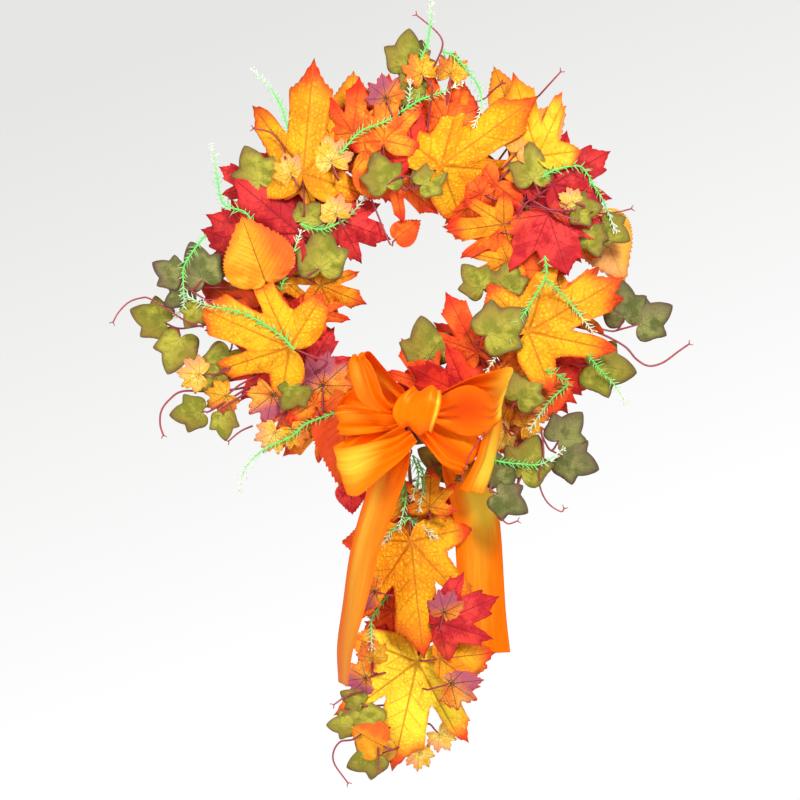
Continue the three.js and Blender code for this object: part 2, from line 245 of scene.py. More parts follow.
def leaf_material(name, kind, low, high, second, tip, vein, edge=None, turn=0.0, split=(0.1, 0.5),
                  tips=(0.72, 0.98), cells=24.0, emboss=0.3, crease=0.1, mottle=1.6, vein_depth=0.6,
                  chevrons=7.0, hub=0.4, margin=0.5):
    """A printed and pressed polyester leaf.

    low and high are the colours of the creases and of the puffed cells between them, second
    takes over on the side that `turn` points to, over the stretch that split gives, tip on the
    ends of the lobes and the margin, and edge all round.
    """
    n = Nodes(name, Roughness=0.6, Sheen_Weight=0.04, Sheen_Roughness=0.4)
    n.shader.inputs["Specular IOR Level"].default_value = 0.22
    x, y, _, spot = n.attribute("spot")
    share, reach, bright, _ = n.attribute("tone")
    puffed, veins, radius = pressed_pattern(n, kind, x, y, spot, share, cells, chevrons)
    soft = n.noise(spot, 3.2, 3.0)
    fine = n.noise(spot, 34.0, 3.0)
    broad = n.noise(spot, 5.0, 1.0)
    uneven = n.math("SUBTRACT", soft, 0.5)
    speckle = n.math("SUBTRACT", fine, 0.5)

    light = n.total(n.times(puffed, crease), n.times(uneven, mottle))
    light = n.total(light, n.times(speckle, 0.3), n.times(bright, 0.2))
    creases, puffs = colour(low), colour(high)
    if kind == "maple":
        lit = n.ramp(bright, 0.4, 1.1)
        creases = n.mix(n.times(lit, 0.55), creases, colour(PALE_YELLOW))
        puffs = n.mix(lit, puffs, colour(PALE_YELLOW))
    base = n.mix(n.ramp(light, -0.15, 0.15 + crease), creases, puffs)
    facing = n.total(n.times(x, math.sin(math.radians(turn))), n.times(y, math.cos(math.radians(turn))))
    base = n.mix(n.ramp(n.total(facing, n.times(uneven, 0.7)), *split), base, colour(second))
    ends = n.total(reach, n.times(speckle, 0.2), n.times(uneven, 0.35))
    rim = n.times(n.ramp(n.total(share, n.times(speckle, 0.15)), 0.8, 1.0), margin)
    rim = n.times(rim, n.ramp(n.total(reach, n.times(uneven, 1.5)), 0.3, 0.7))
    base = n.mix(n.math("MAXIMUM", n.ramp(ends, *tips), rim), base, colour(tip))
    if edge:
        worn = n.total(share, n.times(speckle, 0.3), n.times(uneven, 0.6))
        base = n.mix(n.ramp(worn, 0.72, 1.05, 0.0, 0.85), base, colour(edge))
    around_hub = n.times(n.ramp(radius, 0.24, 0.0), hub)
    around_hub = n.times(around_hub, n.math("SUBTRACT", 1.15, puffed))
    base = n.mix(n.math("MAXIMUM", n.times(veins, vein_depth), around_hub), base, colour(vein))
    grain = n.total(0.93, n.times(fine, 0.14), n.times(bright, 0.1))
    shade = n.add("CombineXYZ", grain, grain, grain).outputs[0]
    base = n.mix(1.0, base, shade, "MULTIPLY")
    height = n.total(n.times(puffed, emboss), n.times(veins, -0.7))
    height = n.total(height, n.times(broad, 1.6), n.times(fine, 0.08))
    return n.finish(base, height, 1.0 * MM, 0.8)


def satin_material():
    # Orange satin whose colour also holds painted highlights and painted shade, set per point on the mesh
    n = Nodes("ribbon_satin", Roughness=0.3, Metallic=0.08)
    n.shader.inputs["Specular IOR Level"].default_value = 0.3
    n.shader.inputs["Specular Tint"].default_value = colour("ffd97a")
    across, along, _, spot = n.attribute("spot")
    # the third tone is painted light: above 0 a painted highlight, below 0 painted shade
    _, _, painted_light, _ = n.attribute("tone")
    threads = n.noise(n.scaled(spot, 0.05, 1.2, 1.0), 1.0, 2.0)
    streaks = n.noise(n.scaled(spot, 0.35, 0.02, 1.0), 1.0, 2.0)
    weave = n.math("SINE", n.times(along, 5.2))
    selvedge = n.ramp(n.math("ABSOLUTE", across), RIBBON_WIDTH / 2 - 1.6, RIBBON_WIDTH / 2 - 0.8)
    base = n.mix(streaks, colour("ff6600"), colour("ff7e00"))
    # painted highlight: pale yellow where the painted light is strong, broken up a little by the streaks
    lit = n.total(painted_light, n.times(n.math("SUBTRACT", streaks, 0.5), 0.3))
    base = n.mix(n.ramp(lit, 0.1, 1.0), base, colour("ffd03c"))
    # painted shade: deep orange inside the loops, where the painted light is below 0
    base = n.mix(n.ramp(painted_light, 0.0, -1.0), base, colour("ea4200"))
    base = n.mix(n.times(selvedge, 0.3), base, colour("f05a00"))
    height = n.total(n.times(threads, 0.4), n.times(weave, 0.05), n.times(selvedge, 0.5))
    roughness = n.total(0.32, n.times(streaks, 0.16))
    return n.finish(base, height, 0.1 * MM, 0.5, roughness)


def sprig_material():
    n = Nodes("sprig_plastic", Roughness=0.42)
    share, _, bright, _ = n.attribute("tone")
    _, _, _, spot = n.attribute("spot")
    speck = n.noise(spot, 0.35, 2.0)
    white = n.ramp(n.total(share, n.times(n.math("SUBTRACT", speck, 0.5), 0.5)), 0.6, 1.1)
    green = n.mix(speck, colour("48c848"), colour("8cf078"))
    base = n.mix(n.math("MAXIMUM", white, bright), green, colour("f2f6e4"))
    return n.finish(base, speck, 0.1 * MM)


def tendril_material():
    n = Nodes("tendril_plastic", Roughness=0.4)
    share, _, _, _ = n.attribute("tone")
    _, _, _, spot = n.attribute("spot")
    speck = n.noise(spot, 0.4, 2.0)
    base = n.mix(n.total(n.times(share, 0.6), n.times(speck, 0.4)), colour("7c1c2e"), colour("b84450"))
    return n.finish(base, speck, 0.1 * MM)


def stem_material():
    n = Nodes("stem_plastic", Roughness=0.6)
    place = n.add("TexCoord").outputs["Object"]
    speck = n.noise(place, 300.0, 3.0)
    base = n.mix(speck, colour("5c2c14"), colour("a4622c"))
    return n.finish(base, speck, 0.3 * MM)


def bark_material():
    n = Nodes("vine_bark", Roughness=0.85)
    _, _, _, spot = n.attribute("spot")
    long_grain = n.noise(n.scaled(spot, 0.05, 0.8, 1.0), 1.0, 5.0)
    patches = n.noise(n.scaled(spot, 0.03, 0.06, 1.0), 1.0, 2.0)
    cracks = n.ramp(n.cells(n.scaled(spot, 0.04, 0.35, 1.0), 1.0), 0.0, 0.12)
    base = n.mix(long_grain, colour("2e1c10"), colour("8a6238"))
    base = n.mix(n.times(patches, 0.6), base, colour("a58a68"))
    base = n.mix(n.math("SUBTRACT", 1.0, cracks), base, colour("1c110a"))
    height = n.total(long_grain, n.times(cracks, 0.8))
    return n.finish(base, height, 0.9 * MM)


def wire_material():
    n = Nodes("florist_wire", Metallic=0.6)
    place = n.add("TexCoord").outputs["Object"]
    wear = n.noise(place, 420.0, 4.0)
    base = n.mix(wear, colour("3a2a20"), colour("8a7460"))
    return n.finish(base, wear, 0.1 * MM, 1.0, n.ramp(wear, 0.2, 0.8, 0.35, 0.6))


# What leaves of one outline have in common
PRINTS = {
    "maple": dict(cells=20.0, margin=0.6),
    "pointed": dict(tips=(0.7, 1.0), cells=16.0, emboss=0.2, mottle=2.2, hub=0.2, margin=0.3),
    "birch": dict(tips=(0.9, 1.05), cells=40.0, emboss=0.2, chevrons=11.0, hub=0.1),
    "ivy": dict(turn=-70, split=(-0.1, 0.6), tips=(0.8, 1.1), emboss=0.15, mottle=1.7, hub=0.1),
    "star": dict(tips=(0.8, 1.05), cells=16.0, crease=0.2),
}
# Each look's slot, outline, colours (low, high, second, tip and vein) and what it has of its own
PRINTED = {
    "yellow": ("leaf_yellow", "maple", "ee8e06 feba14 f8960c ea4012 c46c06",
               dict(turn=40, split=(0.3, 1.2), tips=(0.66, 0.95), cells=25.0, emboss=0.5, crease=0.4,
                    mottle=1.8, vein_depth=0.7, margin=0.75)),
    "lemon": ("leaf_yellow", "maple", "f8a40e fec226 f58410 ea5014 b0660c",
              dict(turn=-90, split=(0.1, 0.7), cells=16.0, emboss=0.2, vein_depth=0.5, hub=0.2)),
    "gold": ("leaf_gold", "maple", "ee8406 f9a814 ee6e10 e03e12 8a4408",
             dict(turn=150, split=(0.0, 0.5), tips=(0.62, 0.9), emboss=0.4, crease=0.15,
                  vein_depth=0.75, hub=0.6)),
    "orange": ("leaf_orange", "maple", "ec5a10 fa9a1e ef4a18 e0300f b0380a",
               dict(turn=-60, split=(0.1, 0.6), tips=(0.6, 0.9))),
    "flame": ("leaf_orange", "maple", "e8430f f56a18 fa8c1a dd2c14 a8300a",
              dict(turn=120, split=(0.2, 0.7), tips=(0.6, 0.95), margin=0.4)),
    "red": ("leaf_red", "pointed", "b41410 e0321a ec5212 c81a14 86100c",
            dict(turn=120, split=(0.1, 0.7), vein_depth=0.55)),
    "crimson": ("leaf_crimson", "pointed", "b81822 e23834 ea5a22 d02226 88101a",
                dict(turn=130, split=(0.15, 0.65), vein_depth=0.65)),
    "birch": ("leaf_orange", "birch", "f3950e fcb72a f0681c ea4e18 8a3e0c",
              dict(turn=90, split=(-0.05, 0.35), crease=0.12, vein_depth=0.7)),
    "salmon": ("leaf_salmon", "birch", "f39a4a fbc272 f6b238 ee8444 c06a2a",
               dict(turn=-90, split=(-0.1, 0.3), emboss=0.15, vein_depth=0.4)),
    "ember": ("leaf_orange", "birch", "e2480f f57a1c ea4a14 d8300f a2280c",
              dict(turn=90, split=(-0.1, 0.4), cells=36.0, vein_depth=0.5)),
    "ivy": ("leaf_green", "ivy", "80801c b4ac3a 94802e 84643a c8c262", dict(edge="74602e", vein_depth=0.3)),
    "ivy_dark": ("leaf_dark_green", "ivy", "5e642c 8e8e4c 786c44 64503e a8a672",
                 dict(edge="5a4638", vein_depth=0.4)),
    "star": ("leaf_mixed", "star", "f6b832 fdde70 f2a06c f0883c 8a3a1c", dict(turn=60, split=(0.1, 0.7))),
    "star_gold": ("leaf_mixed", "star", "e89a14 fbc63c ee8232 da5a20 7a340c",
                  dict(turn=-60, split=(0.0, 0.5), tips=(0.75, 1.05), vein_depth=0.75, hub=0.5)),
    "star_dark": ("leaf_mixed", "star", "e4741c f8b03c b4566a cc4634 4a1f1a",
                  dict(turn=-40, split=(-0.1, 0.4), vein_depth=0.95, chevrons=12.0, hub=0.9)),
}
LOOKS = {}
for look, (_, kind, colours, own) in PRINTED.items():
    LOOKS[look] = leaf_material(f"leaf_{look}", kind, *colours.split(), **{**PRINTS[kind], **own})
SATIN_ORANGE = satin_material()
SPRIG_PLASTIC = sprig_material()
TENDRIL_PLASTIC = tendril_material()
STEM_PLASTIC = stem_material()
BARK = bark_material()
WIRE = wire_material()


# ------------------------------------------------------------------------------ meshes


class Shape:
    """Collects points and faces, with what the materials read at each point.

    A spot is a place on the flat sheet or along the wire, with a number that differs from piece
    to piece. A tone is how far out or along the point is, and what else its material asks for.
    """

    def __init__(self):
        self.points = []
        self.faces = []
        self.spots = []
        self.tones = []

    def add(self, points, faces, spots, tones):
        base = len(self.points)
        self.points += [tuple(p) for p in points]
        self.faces += [tuple(base + i for i in face) for face in faces]
        self.spots += [tuple(s) for s in spots]
        self.tones += [tuple(t) for t in tones]

    def build(self, name, material, body, thickness=0.0, replaces=()):
        mesh = bpy.data.meshes.new(name)
        mesh.from_pydata(self.points, [], self.faces)
        for label, values in (("spot", self.spots), ("tone", self.tones)):
            attribute = mesh.attributes.new(label, "FLOAT_VECTOR", "POINT")
            attribute.data.foreach_set("vector", np.array(values, np.float32).ravel())
        mesh.shade_smooth()
        mesh.materials.append(material)
        piece = bpy.data.objects.new(name, mesh)
        bpy.context.scene.collection.objects.link(piece)
        if thickness:
            solid = piece.modifiers.new("thickness", "SOLIDIFY")
            solid.thickness = thickness
            solid.offset = 0
        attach(piece, body)
        if replaces:
            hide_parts(*replaces)
        return piece

    def build_leaf(self, name, look, body, replaces=()):
        """Builds a piece of silk leaves of that look."""
        self.build(name, LOOKS[look], body, CLOTH, replaces)

    def tree(self):
        return BVHTree.FromPolygons(self.points, self.faces)


def smooth_path(points, spacing=1.5, each=None):
    """A Catmull-Rom curve through the points, with a step for every `spacing` millimetres, or
    with `each` steps between every two points."""
    p = [Vector(q) for q in points]
    p = [2 * p[0] - p[1], *p, 2 * p[-1] - p[-2]]
    path = []
    for a, b, c, d in zip(p, p[1:], p[2:], p[3:]):
        steps = each or max(2, round((c - b).length / (spacing * MM)))
        for i in range(steps):
            t = i / steps
            path.append(0.5 * (2 * b + (c - a) * t + (2 * a - 5 * b + 4 * c - d) * t * t
                               + (3 * b - a - 3 * c + d) * t ** 3))
    path.append(p[-2])
    return path


def frames(path):
    """A direction and two cross directions at each point of a path, turning as little as it can."""
    result = []
    cross = None
    for i, point in enumerate(path):
        ahead = path[min(i + 1, len(path) - 1)] - path[max(i - 1, 0)]
        ahead.normalize()
        if cross is None:
            cross = ahead.orthogonal().normalized()
        cross = (cross - ahead * cross.dot(ahead)).normalized()
        result.append((point, ahead, cross, ahead.cross(cross)))
    return result


def add_tube(shape, path, radius, end_radius=None, sides=7, tone=(0.0, 1.0), seed=0.0, rough=0.0):
    """A round wire along a path, thinner at its end if end_radius is given."""
    end_radius = radius if end_radius is None else end_radius
    points, faces, spots, tones = [], [], [], []
    length = 0.0
    rng = random.Random(int(seed * 1000) + len(path))
    for i, (point, _, a, b) in enumerate(frames(path)):
        share = i / (len(path) - 1)
        length += (path[i] - path[i - 1]).length / MM if i else 0.0
        size = (radius + (end_radius - radius) * share) * MM
        for k in range(sides):
            turn = 2 * math.pi * k / sides
            bulge = size * (1 + rough * (rng.random() - 0.5))
            points.append(point + (a * math.cos(turn) + b * math.sin(turn)) * bulge)
            spots.append((length, radius * turn, seed))
            tones.append((tone[0] + (tone[1] - tone[0]) * share, share, 0.0))
    for i in range(len(path) - 1):
        for k in range(sides):
            j = (k + 1) % sides
            faces.append((i * sides + k, i * sides + j, (i + 1) * sides + j, (i + 1) * sides + k))
    faces.append(tuple(reversed(range(sides))))
    last = (len(path) - 1) * sides
    faces.append(tuple(range(last, last + sides)))
    shape.add(points, faces, spots, tones)


# ------------------------------------------------------------------------------ leaves

# Half outlines from the tip to the base: degrees from the tip, and the distance from where the
# veins meet as a share of the leaf's length
HALF_OUTLINES = {
    "maple": [
        (0, 1), (3.5, 0.91), (7, 0.84), (11, 0.8), (15.5, 0.78), (16.5, 0.7), (18, 0.6), (21, 0.5),
        (24.5, 0.42), (27.5, 0.4), (30, 0.46), (32.5, 0.62), (36, 0.74), (41, 0.82), (44, 0.74),
        (47, 0.68), (50.5, 0.66), (53, 0.55), (58, 0.44), (65, 0.36), (72, 0.34), (80, 0.4), (88, 0.49),
        (97, 0.57), (104, 0.51), (113, 0.47), (124, 0.36), (145, 0.22), (174, 0.05),
    ],
    "pointed": [
        (0, 1), (4, 0.9), (8, 0.83), (11, 0.8), (15, 0.83), (18, 0.72), (22, 0.6), (26, 0.52),
        (30, 0.58), (35, 0.72), (41, 0.87), (45, 0.78), (49, 0.72), (53, 0.74), (58, 0.62), (64, 0.5),
        (71, 0.43), (80, 0.48), (90, 0.56), (101, 0.62), (108, 0.52), (116, 0.48), (130, 0.34),
        (150, 0.2), (174, 0.05),
    ],
    "star": [
        (0, 1), (8, 0.82), (13, 0.86), (22, 0.66), (29, 0.72), (33, 0.86), (39, 0.95), (46, 0.8),
        (52, 0.82), (62, 0.62), (71, 0.68), (76, 0.78), (82, 0.84), (90, 0.7), (97, 0.7), (108, 0.54),
        (118, 0.6), (128, 0.64), (138, 0.46), (155, 0.24), (174, 0.06),
    ],
    "ivy": [
        (0, 1), (5, 0.95), (12, 0.86), (20, 0.77), (28, 0.68), (34, 0.63), (41, 0.67), (48, 0.74),
        (54, 0.78), (60, 0.71), (69, 0.6), (80, 0.54), (92, 0.52), (106, 0.5), (118, 0.46), (134, 0.35),
        (152, 0.2), (174, 0.06),
    ],
    "birch": [
        (0, 1), (5, 0.91), (11, 0.8), (19, 0.69), (30, 0.6), (42, 0.52), (56, 0.44), (72, 0.37),
        (92, 0.29), (118, 0.2), (145, 0.14), (174, 0.05),
    ],
}
TEETH = {"maple": 0.012, "pointed": 0.012, "star": 0.02, "ivy": 0.0, "birch": 0.022}
# Half the breadth of the CAD leaves, as a share of their length
HALF_WIDTH = {"maple": 0.525, "pointed": 0.525, "birch": 0.311}


def full_outline(kind, step):
    """(degrees, reach) all round a leaf, from its tip clockwise."""
    half = HALF_OUTLINES[kind]
    side = []
    for (a, near), (b, far) in zip(half, half[1:]):
        count = max(1, round((b - a) / step))
        side += [(a + (b - a) * i / count, near + (far - near) * i / count) for i in range(count)]
    side.append(half[-1])
    toothed = []
    for i, (angle, reach) in enumerate(side):
        toothed.append((angle, reach * (1 + TEETH[kind] * (1 if i % 2 == 0 else -1))))
    return toothed + [(-angle, reach) for angle, reach in reversed(toothed[1:])]


def lobe_reach(kind, angle):
    """How far the nearest lobe reaches, as a share of the leaf's length."""
    veins = VEINS[kind]
    nearest = min(veins, key=lambda v: abs(v - abs(angle)))
    half = HALF_OUTLINES[kind]
    return float(np.interp(nearest, [a for a, _ in half], [r for _, r in half]))


class Pose:
    """Where a leaf lies: where its veins meet, its directions and its size."""

    def __init__(self, hub, across, along, length, broad):
        self.hub = hub
        self.across = across
        self.along = along
        self.front = across.cross(along)
        self.length = length
        self.broad = broad

    def point(self, x, y, forward):
        shift = self.across * x + self.along * y + self.front * forward
        return self.hub + shift * self.length


def turned(x, y, z, points, length, lean=0.0, roll=0.0, broad=1.0):
    """A leaf whose tip points `points` degrees clockwise from up, as in the CAD model."""
    turn = Matrix.Rotation(math.radians(points), 3, "Y")
    turn = turn @ Matrix.Rotation(math.radians(lean), 3, "X") @ Matrix.Rotation(math.radians(-roll), 3, "Z")
    return Pose(at(x, y, z), turn.col[0].copy(), turn.col[2].copy(), length * MM, broad)


def relief(kind, angles, radius, share):
    """How far the puffs between the main veins and the grooves along them lift a leaf."""
    veins = np.radians([*VEINS[kind], *(-v for v in VEINS[kind][1:])])
    gap = np.min([np.abs((angles - v + np.pi) % (2 * np.pi) - np.pi) for v in veins], axis=0)
    groove = np.exp(-((radius * np.sin(np.minimum(gap, 1.4)) / 0.022) ** 2)) * (1 - share)
    puff = np.sin(np.minimum(gap / math.radians(24), 1) * math.pi) * share * (1.1 - share)
    return 0.022 * puff - 0.009 * groove


def leaf_faces(count, rings):
    """A fan round the middle, then rings of `count` faces about it."""
    faces = [(0, 1 + (i + 1) % count, 1 + i) for i in range(count)]
    for ring in range(rings - 1):
        inner, outer = 1 + ring * count, 1 + (ring + 1) * count
        for i in range(count):
            j = (i + 1) % count
            faces.append((inner + i, inner + j, outer + j, outer + i))
    return faces


def add_leaf(shape, kind, pose, seed, droop=0.12, cup=0.1, step=2.0, rings=14, wave=1.3, folds=(6, 6),
             bright=None):
    """One leaf: rings of points from where its veins meet out to its toothed edge.

    droop and cup bend it back along and across, step is the degrees between two points, wave how
    much it ripples, and folds how far its left and right halves are folded back, in degrees.
    bright, from -1 to 1, is how pale it is printed, left to chance if it isn't given.
    """
    rng = random.Random(seed)
    outline = full_outline(kind, step)
    angles = np.radians([a for a, _ in outline])
    reaches = np.array([r for _, r in outline])
    lobes = np.array([lobe_reach(kind, a) for a, _ in outline])
    phases = [rng.uniform(0, 2 * math.pi) for _ in range(4)]
    curl = rng.uniform(-0.05, 0.06) * wave
    twist = rng.uniform(-0.06, 0.06) * wave
    bright = rng.random() - 0.5 if bright is None else bright
    points, spots, tones = [pose.hub], [(0, 0, seed)], [(0, 0, bright)]
    for ring in range(1, rings + 1):
        share = ring / rings
        radius = reaches * share
        x = radius * np.sin(angles) * pose.broad
        y = radius * np.cos(angles)
        fold = np.radians(np.where(x < 0, folds[0], folds[1]))
        back = np.where(y > 0, droop, 1.2) * y * y + cup * x * x + np.abs(x) * np.sin(fold)
        ripple = 0.02 * np.sin(3 * angles + phases[0]) + 0.014 * np.sin(5 * angles + phases[1])
        ripple += 0.008 * np.sin(11 * angles + phases[2])
        lift = relief(kind, angles, radius, share) + wave * ripple * share ** 2
        lift += curl * y * np.abs(y) + twist * x * y
        for i in range(len(outline)):
            points.append(pose.point(x[i] * math.cos(fold[i]), y[i], lift[i] - back[i]))
            spots.append((x[i], y[i], seed))
            tones.append((share, radius[i] / lobes[i], bright))
    shape.add(points, leaf_faces(len(outline), rings), spots, tones)


def cad_pose(node, kind):
    """Reads from a CAD leaf's own mesh where it lies: its two points with the most faces round
    them are where its veins meet, back and front."""
    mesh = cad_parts[node].data
    places = np.array([v.co for v in mesh.vertices])
    merged, index = np.unique(np.round(places, 6), axis=0, return_inverse=True)
    index = index.ravel()
    counts = np.zeros(len(merged), int)
    for polygon in mesh.polygons:
        for i in polygon.vertices:
            counts[index[i]] += 1
    poles = sorted((merged[i] for i in np.argsort(counts)[-2:]), key=lambda p: p[1])
    front, back = Vector(poles[0]), Vector(poles[1])
    hub = (front + back) / 2
    facing = (front - back).normalized()
    away = merged - np.array(hub)
    tip = Vector(away[np.argmax(np.linalg.norm(away, axis=1))])
    along = tip - facing * tip.dot(facing)
    length = along.length
    along.normalize()
    across = along.cross(facing)
    width = np.abs(away @ np.array(across)).max() / length
    heel = Vector(merged[np.argmin(away @ np.array(along))])
    return Pose(hub, across, along, length, width / HALF_WIDTH[kind]), heel


# Trees of everything that later pieces are laid on, and the depth of the garland behind them
laid = []
BACK = -18.0


def lay_cad_solids(nodes):
    """Adds the CAD solids that are laid first, whose own pieces come later."""
    shape = Shape()
    for node in nodes:
        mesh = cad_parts[node].data
        shape.add([v.co for v in mesh.vertices], [tuple(p.vertices) for p in mesh.polygons], [], [])
    laid.append(shape.tree())


def front_of(x, z, missing=BACK):
    """The depth in millimetres of what is frontmost there."""
    start = at(x, -300, z)
    hits = [tree.ray_cast(start, Vector((0, 1, 0)))[0] for tree in laid]
    depths = [(hit.y - RING.y) / MM for hit in hits if hit]
    return min(depths) if depths else missing


def rest_depth(x, z, points, length):
    """The depth at which a small leaf clears what it lies on."""
    turn = math.radians(points)
    around = [(0, 0)]
    for angle, reach in ((0, 0.9), (0, 0.5), (-50, 0.6), (50, 0.6)):
        a = turn + math.radians(angle)
        around.append((math.sin(a) * reach * length, math.cos(a) * reach * length))
    return min(front_of(x + dx, z + dz) for dx, dz in around)


# The CAD leaves and their looks
CAD_LEAVES = [
    ("leaf_birch_top", "birch"), ("leaf_birch_crown", "birch"), ("leaf_birch_outer_right", "salmon"),
    ("leaf_birch_upper_right", "salmon"), ("leaf_maple_dark_top", "red"),
    ("leaf_maple_orange_top", "orange"), ("leaf_maple_red_left", "crimson"),
    ("leaf_maple_red_upper_left", "crimson"), ("leaf_maple_yellow_upper_left", "yellow"),
    ("leaf_maple_pink_inner", "crimson"), ("leaf_birch_left", "birch"),
    ("leaf_maple_inner_left", "gold"), ("leaf_maple_yellow_left", "yellow"),
    ("leaf_maple_red_upper_right", "crimson"), ("leaf_maple_orange_inner", "flame"),
    ("leaf_maple_yellow_upper_right", "yellow"), ("leaf_maple_yellow_inner_right", "gold"),
    ("leaf_maple_red_right", "crimson"), ("leaf_maple_yellow_right", "yellow"),
    ("leaf_maple_orange_lower_right", "orange"), ("leaf_maple_red_bottom", "red"),
    ("leaf_birch_lower_right", "ember"), ("leaf_birch_bottom_left", "ember"),
    ("swag_leaf_red_left", "crimson"), ("swag_leaf_red_right", "crimson"),
    ("swag_leaf_gold_top", "gold"), ("swag_leaf_yellow_middle", "yellow"),
    ("swag_leaf_yellow_bottom", "yellow"),
]


# The leaves whose stalks are still to be made, as (pose, heel)
stalks = {"root": [], "swag": []}
# Folds, length, breadth and paleness of the leaves that differ from the CAD model's flat ones
BENT = {
    "leaf_maple_yellow_upper_right": ((38, 24), 0.98, 1.0, 0.1),
    "leaf_maple_red_right": ((10, 10), 0.85, 1.5, 0.1),
    "leaf_maple_pink_inner": ((14, 14), 0.92, 1.0, 0.3),
    "leaf_maple_yellow_upper_left": ((18, 34), 1.04, 1.0, -0.2),
    "leaf_maple_yellow_left": ((16, 12), 1.0, 1.0, 0.4),
    "leaf_maple_yellow_right": ((10, 10), 1.0, 1.0, 0.1),
    "leaf_birch_left": ((8, 8), 0.95, 1.15, 0.0),
    "leaf_birch_outer_right": ((10, 10), 1.05, 1.3, 0.2),
    "swag_leaf_yellow_middle": ((34, 12), 1.06, 1.1, 0.3),
    "swag_leaf_yellow_bottom": ((8, 8), 1.04, 1.14, 1.0),
    "swag_leaf_gold_top": ((8, 8), 1.25, 1.2, 0.0),
}


def stalk_end(point, body):
    """The nearest point of the stems that a leaf's stalk is wired to."""
    if body == "swag":
        low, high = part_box("swag_stem")
        return Vector(((low.x + high.x) / 2, low.y + 6 * MM, min(max(point.z, low.z), high.z)))
    out = Vector((point.x - RING.x, 0, point.z - RING.z)).normalized()
    return RING + out * VINE_RADIUS * MM + Vector((0, STEM_DEPTH * MM, 0))


def add_stalk(shape, pose, heel, body):
    """A leaf's own stalk, to the stem. Those beside the right tail go round it."""
    beside_tail = 70 * MM < heel.x - RING.x < 110 * MM and heel.z - RING.z < -155 * MM
    end = at(108, STEM_DEPTH, -124) if beside_tail else stalk_end(heel, body)
    start = pose.hub - pose.front * 1.5 * MM
    sag = heel.lerp(end, 0.5) + Vector((0, 3 * MM, 0))
    path = smooth_path([start, start.lerp(heel, 0.6), heel, sag, end], 3)
    add_tube(shape, path, 0.9, 1.1, 6, (0.4, 0.0))


def cad_leaves():
    """A formed silk leaf in place of each CAD leaf."""
    for seed, (node, look) in enumerate(CAD_LEAVES):
        body = "swag" if node.startswith("swag") else "root"
        kind = PRINTED[look][1]
        pose, heel = cad_pose(node, kind)
        folds, longer, broader, bright = BENT.get(node, ((10, 10), 1.0, 1.0, None))
        large = pose.length > 0.07
        pose.length *= longer
        pose.broad *= broader
        shape = Shape()
        fineness = (1.6, 18) if large else (2.4, 12)
        wave = 2.2 if kind == "pointed" else 1.3
        add_leaf(shape, kind, pose, seed, 0.08, 0.1, *fineness, wave, folds, bright)
        shape.build_leaf(node + "_silk", look, body, [node])
        stalks[body].append((pose, heel))
        laid.append(shape.tree())


def leaf_stalks():
    for body, found in stalks.items():
        shape = Shape()
        for pose, heel in found:
            add_stalk(shape, pose, heel, body)
        shape.build(f"leaf_stalks_{body}", TENDRIL_PLASTIC, body)


# Small and hidden leaves that share the stems of the larger ones:
# name, look, outline, x, z, the way it points, length, breadth, depth (None lies on top)
MORE_LEAVES = [
    ("top_orange", "orange", "maple", -22, 132, 4, 62, 1.0, -30),
    ("top_orange_right", "orange", "birch", -36, 122, 118, 62, 1.6, -27),
    ("inner_top", "flame", "maple", -12, 100, 130, 52, 1.0, -24),
    ("top_behind", "flame", "maple", 34, 150, -30, 60, 1.0, -20),
    ("upper_right_lemon", "lemon", "maple", 116, 118, -16, 82, 0.85, -26),
    ("upper_right_edge", "flame", "maple", 66, 84, -70, 48, 1.0, -24),
    ("right_inner_orange", "flame", "maple", 80, 50, -84, 50, 1.0, -24),
    ("right_inner_low", "gold", "maple", 90, 24, -120, 46, 1.0, -22),
    ("right_low_orange", "orange", "maple", 124, -10, -30, 66, 0.9, -20),
    ("bow_behind_right", "flame", "maple", 62, -58, -28, 62, 1.0, -30),
    ("bow_behind_left", "flame", "maple", 18, -88, -30, 50, 1.0, -26),
    ("left_back", "orange", "maple", -128, -28, -62, 76, 0.9, -12),
    ("left_back_high", "gold", "maple", -118, -6, -84, 56, 1.0, -14),
    ("inner_left_low", "flame", "maple", -84, -22, 60, 40, 1.0, -20),
    ("right_strip", "red", "birch", 140, -56, 132, 48, 1.1, -14),
    ("left_oval", "red", "birch", -108, -30, 22, 24, 1.3, -20),
    ("lower_left_back", "orange", "maple", -84, -104, -20, 52, 1.0, -24),
    ("lower_left_orange", "flame", "maple", -104, -108, -160, 44, 1.0, -20),
    ("under_bow", "crimson", "birch", -52, -178, 176, 26, 1.5, -24),
    ("lower_right_back", "orange", "maple", 104, -66, 128, 62, 1.0, -20),
    ("lower_right_gold", "gold", "maple", 92, -100, 160, 46, 1.0, -24),
    ("lower_right_red", "red", "pointed", 108, -92, 60, 42, 1.0, -20),
    ("upper_left_back", "crimson", "pointed", -138, 92, -62, 38, 1.0, -18),
    ("upper_left_gold", "gold", "maple", -96, 100, 118, 46, 1.0, -30),
    ("right_red_low", "red", "pointed", 128, 58, 100, 52, 1.0, -24),
    ("lone_curl", "ember", "birch", -10, 45, 52, 27, 1.3, -20),
]
MORE_SWAG_LEAVES = [
    ("right", "gold", "birch", 28, -332, 84, 50, 1.3, -46),
    ("round", "birch", "birch", -24, -410, -62, 32, 1.6, -38),
    ("small_reds", "crimson", "birch", -18, -288, -64, 32, 1.5, -22),
    ("top_back", "red", "pointed", 14, -196, 120, 40, 1.0, -22),
    ("middle_back", "ember", "birch", -6, -250, -150, 48, 1.3, -20),
    ("red_low", "crimson", "pointed", 2, -318, 30, 36, 1.0, -24),
    ("gold_high", "gold", "maple", 19, -196, 2, 36, 1.2, -50),
    ("brown_left", "red", "birch", -10, -186, 170, 36, 1.4, -24),
    ("middle_left", "flame", "maple", -14, -290, -84, 40, 1.0, -26),
    ("low_right", "flame", "maple", 22, -354, 96, 44, 1.0, -30),
    ("low_left", "salmon", "birch", -22, -406, -140, 30, 1.6, -30),
]
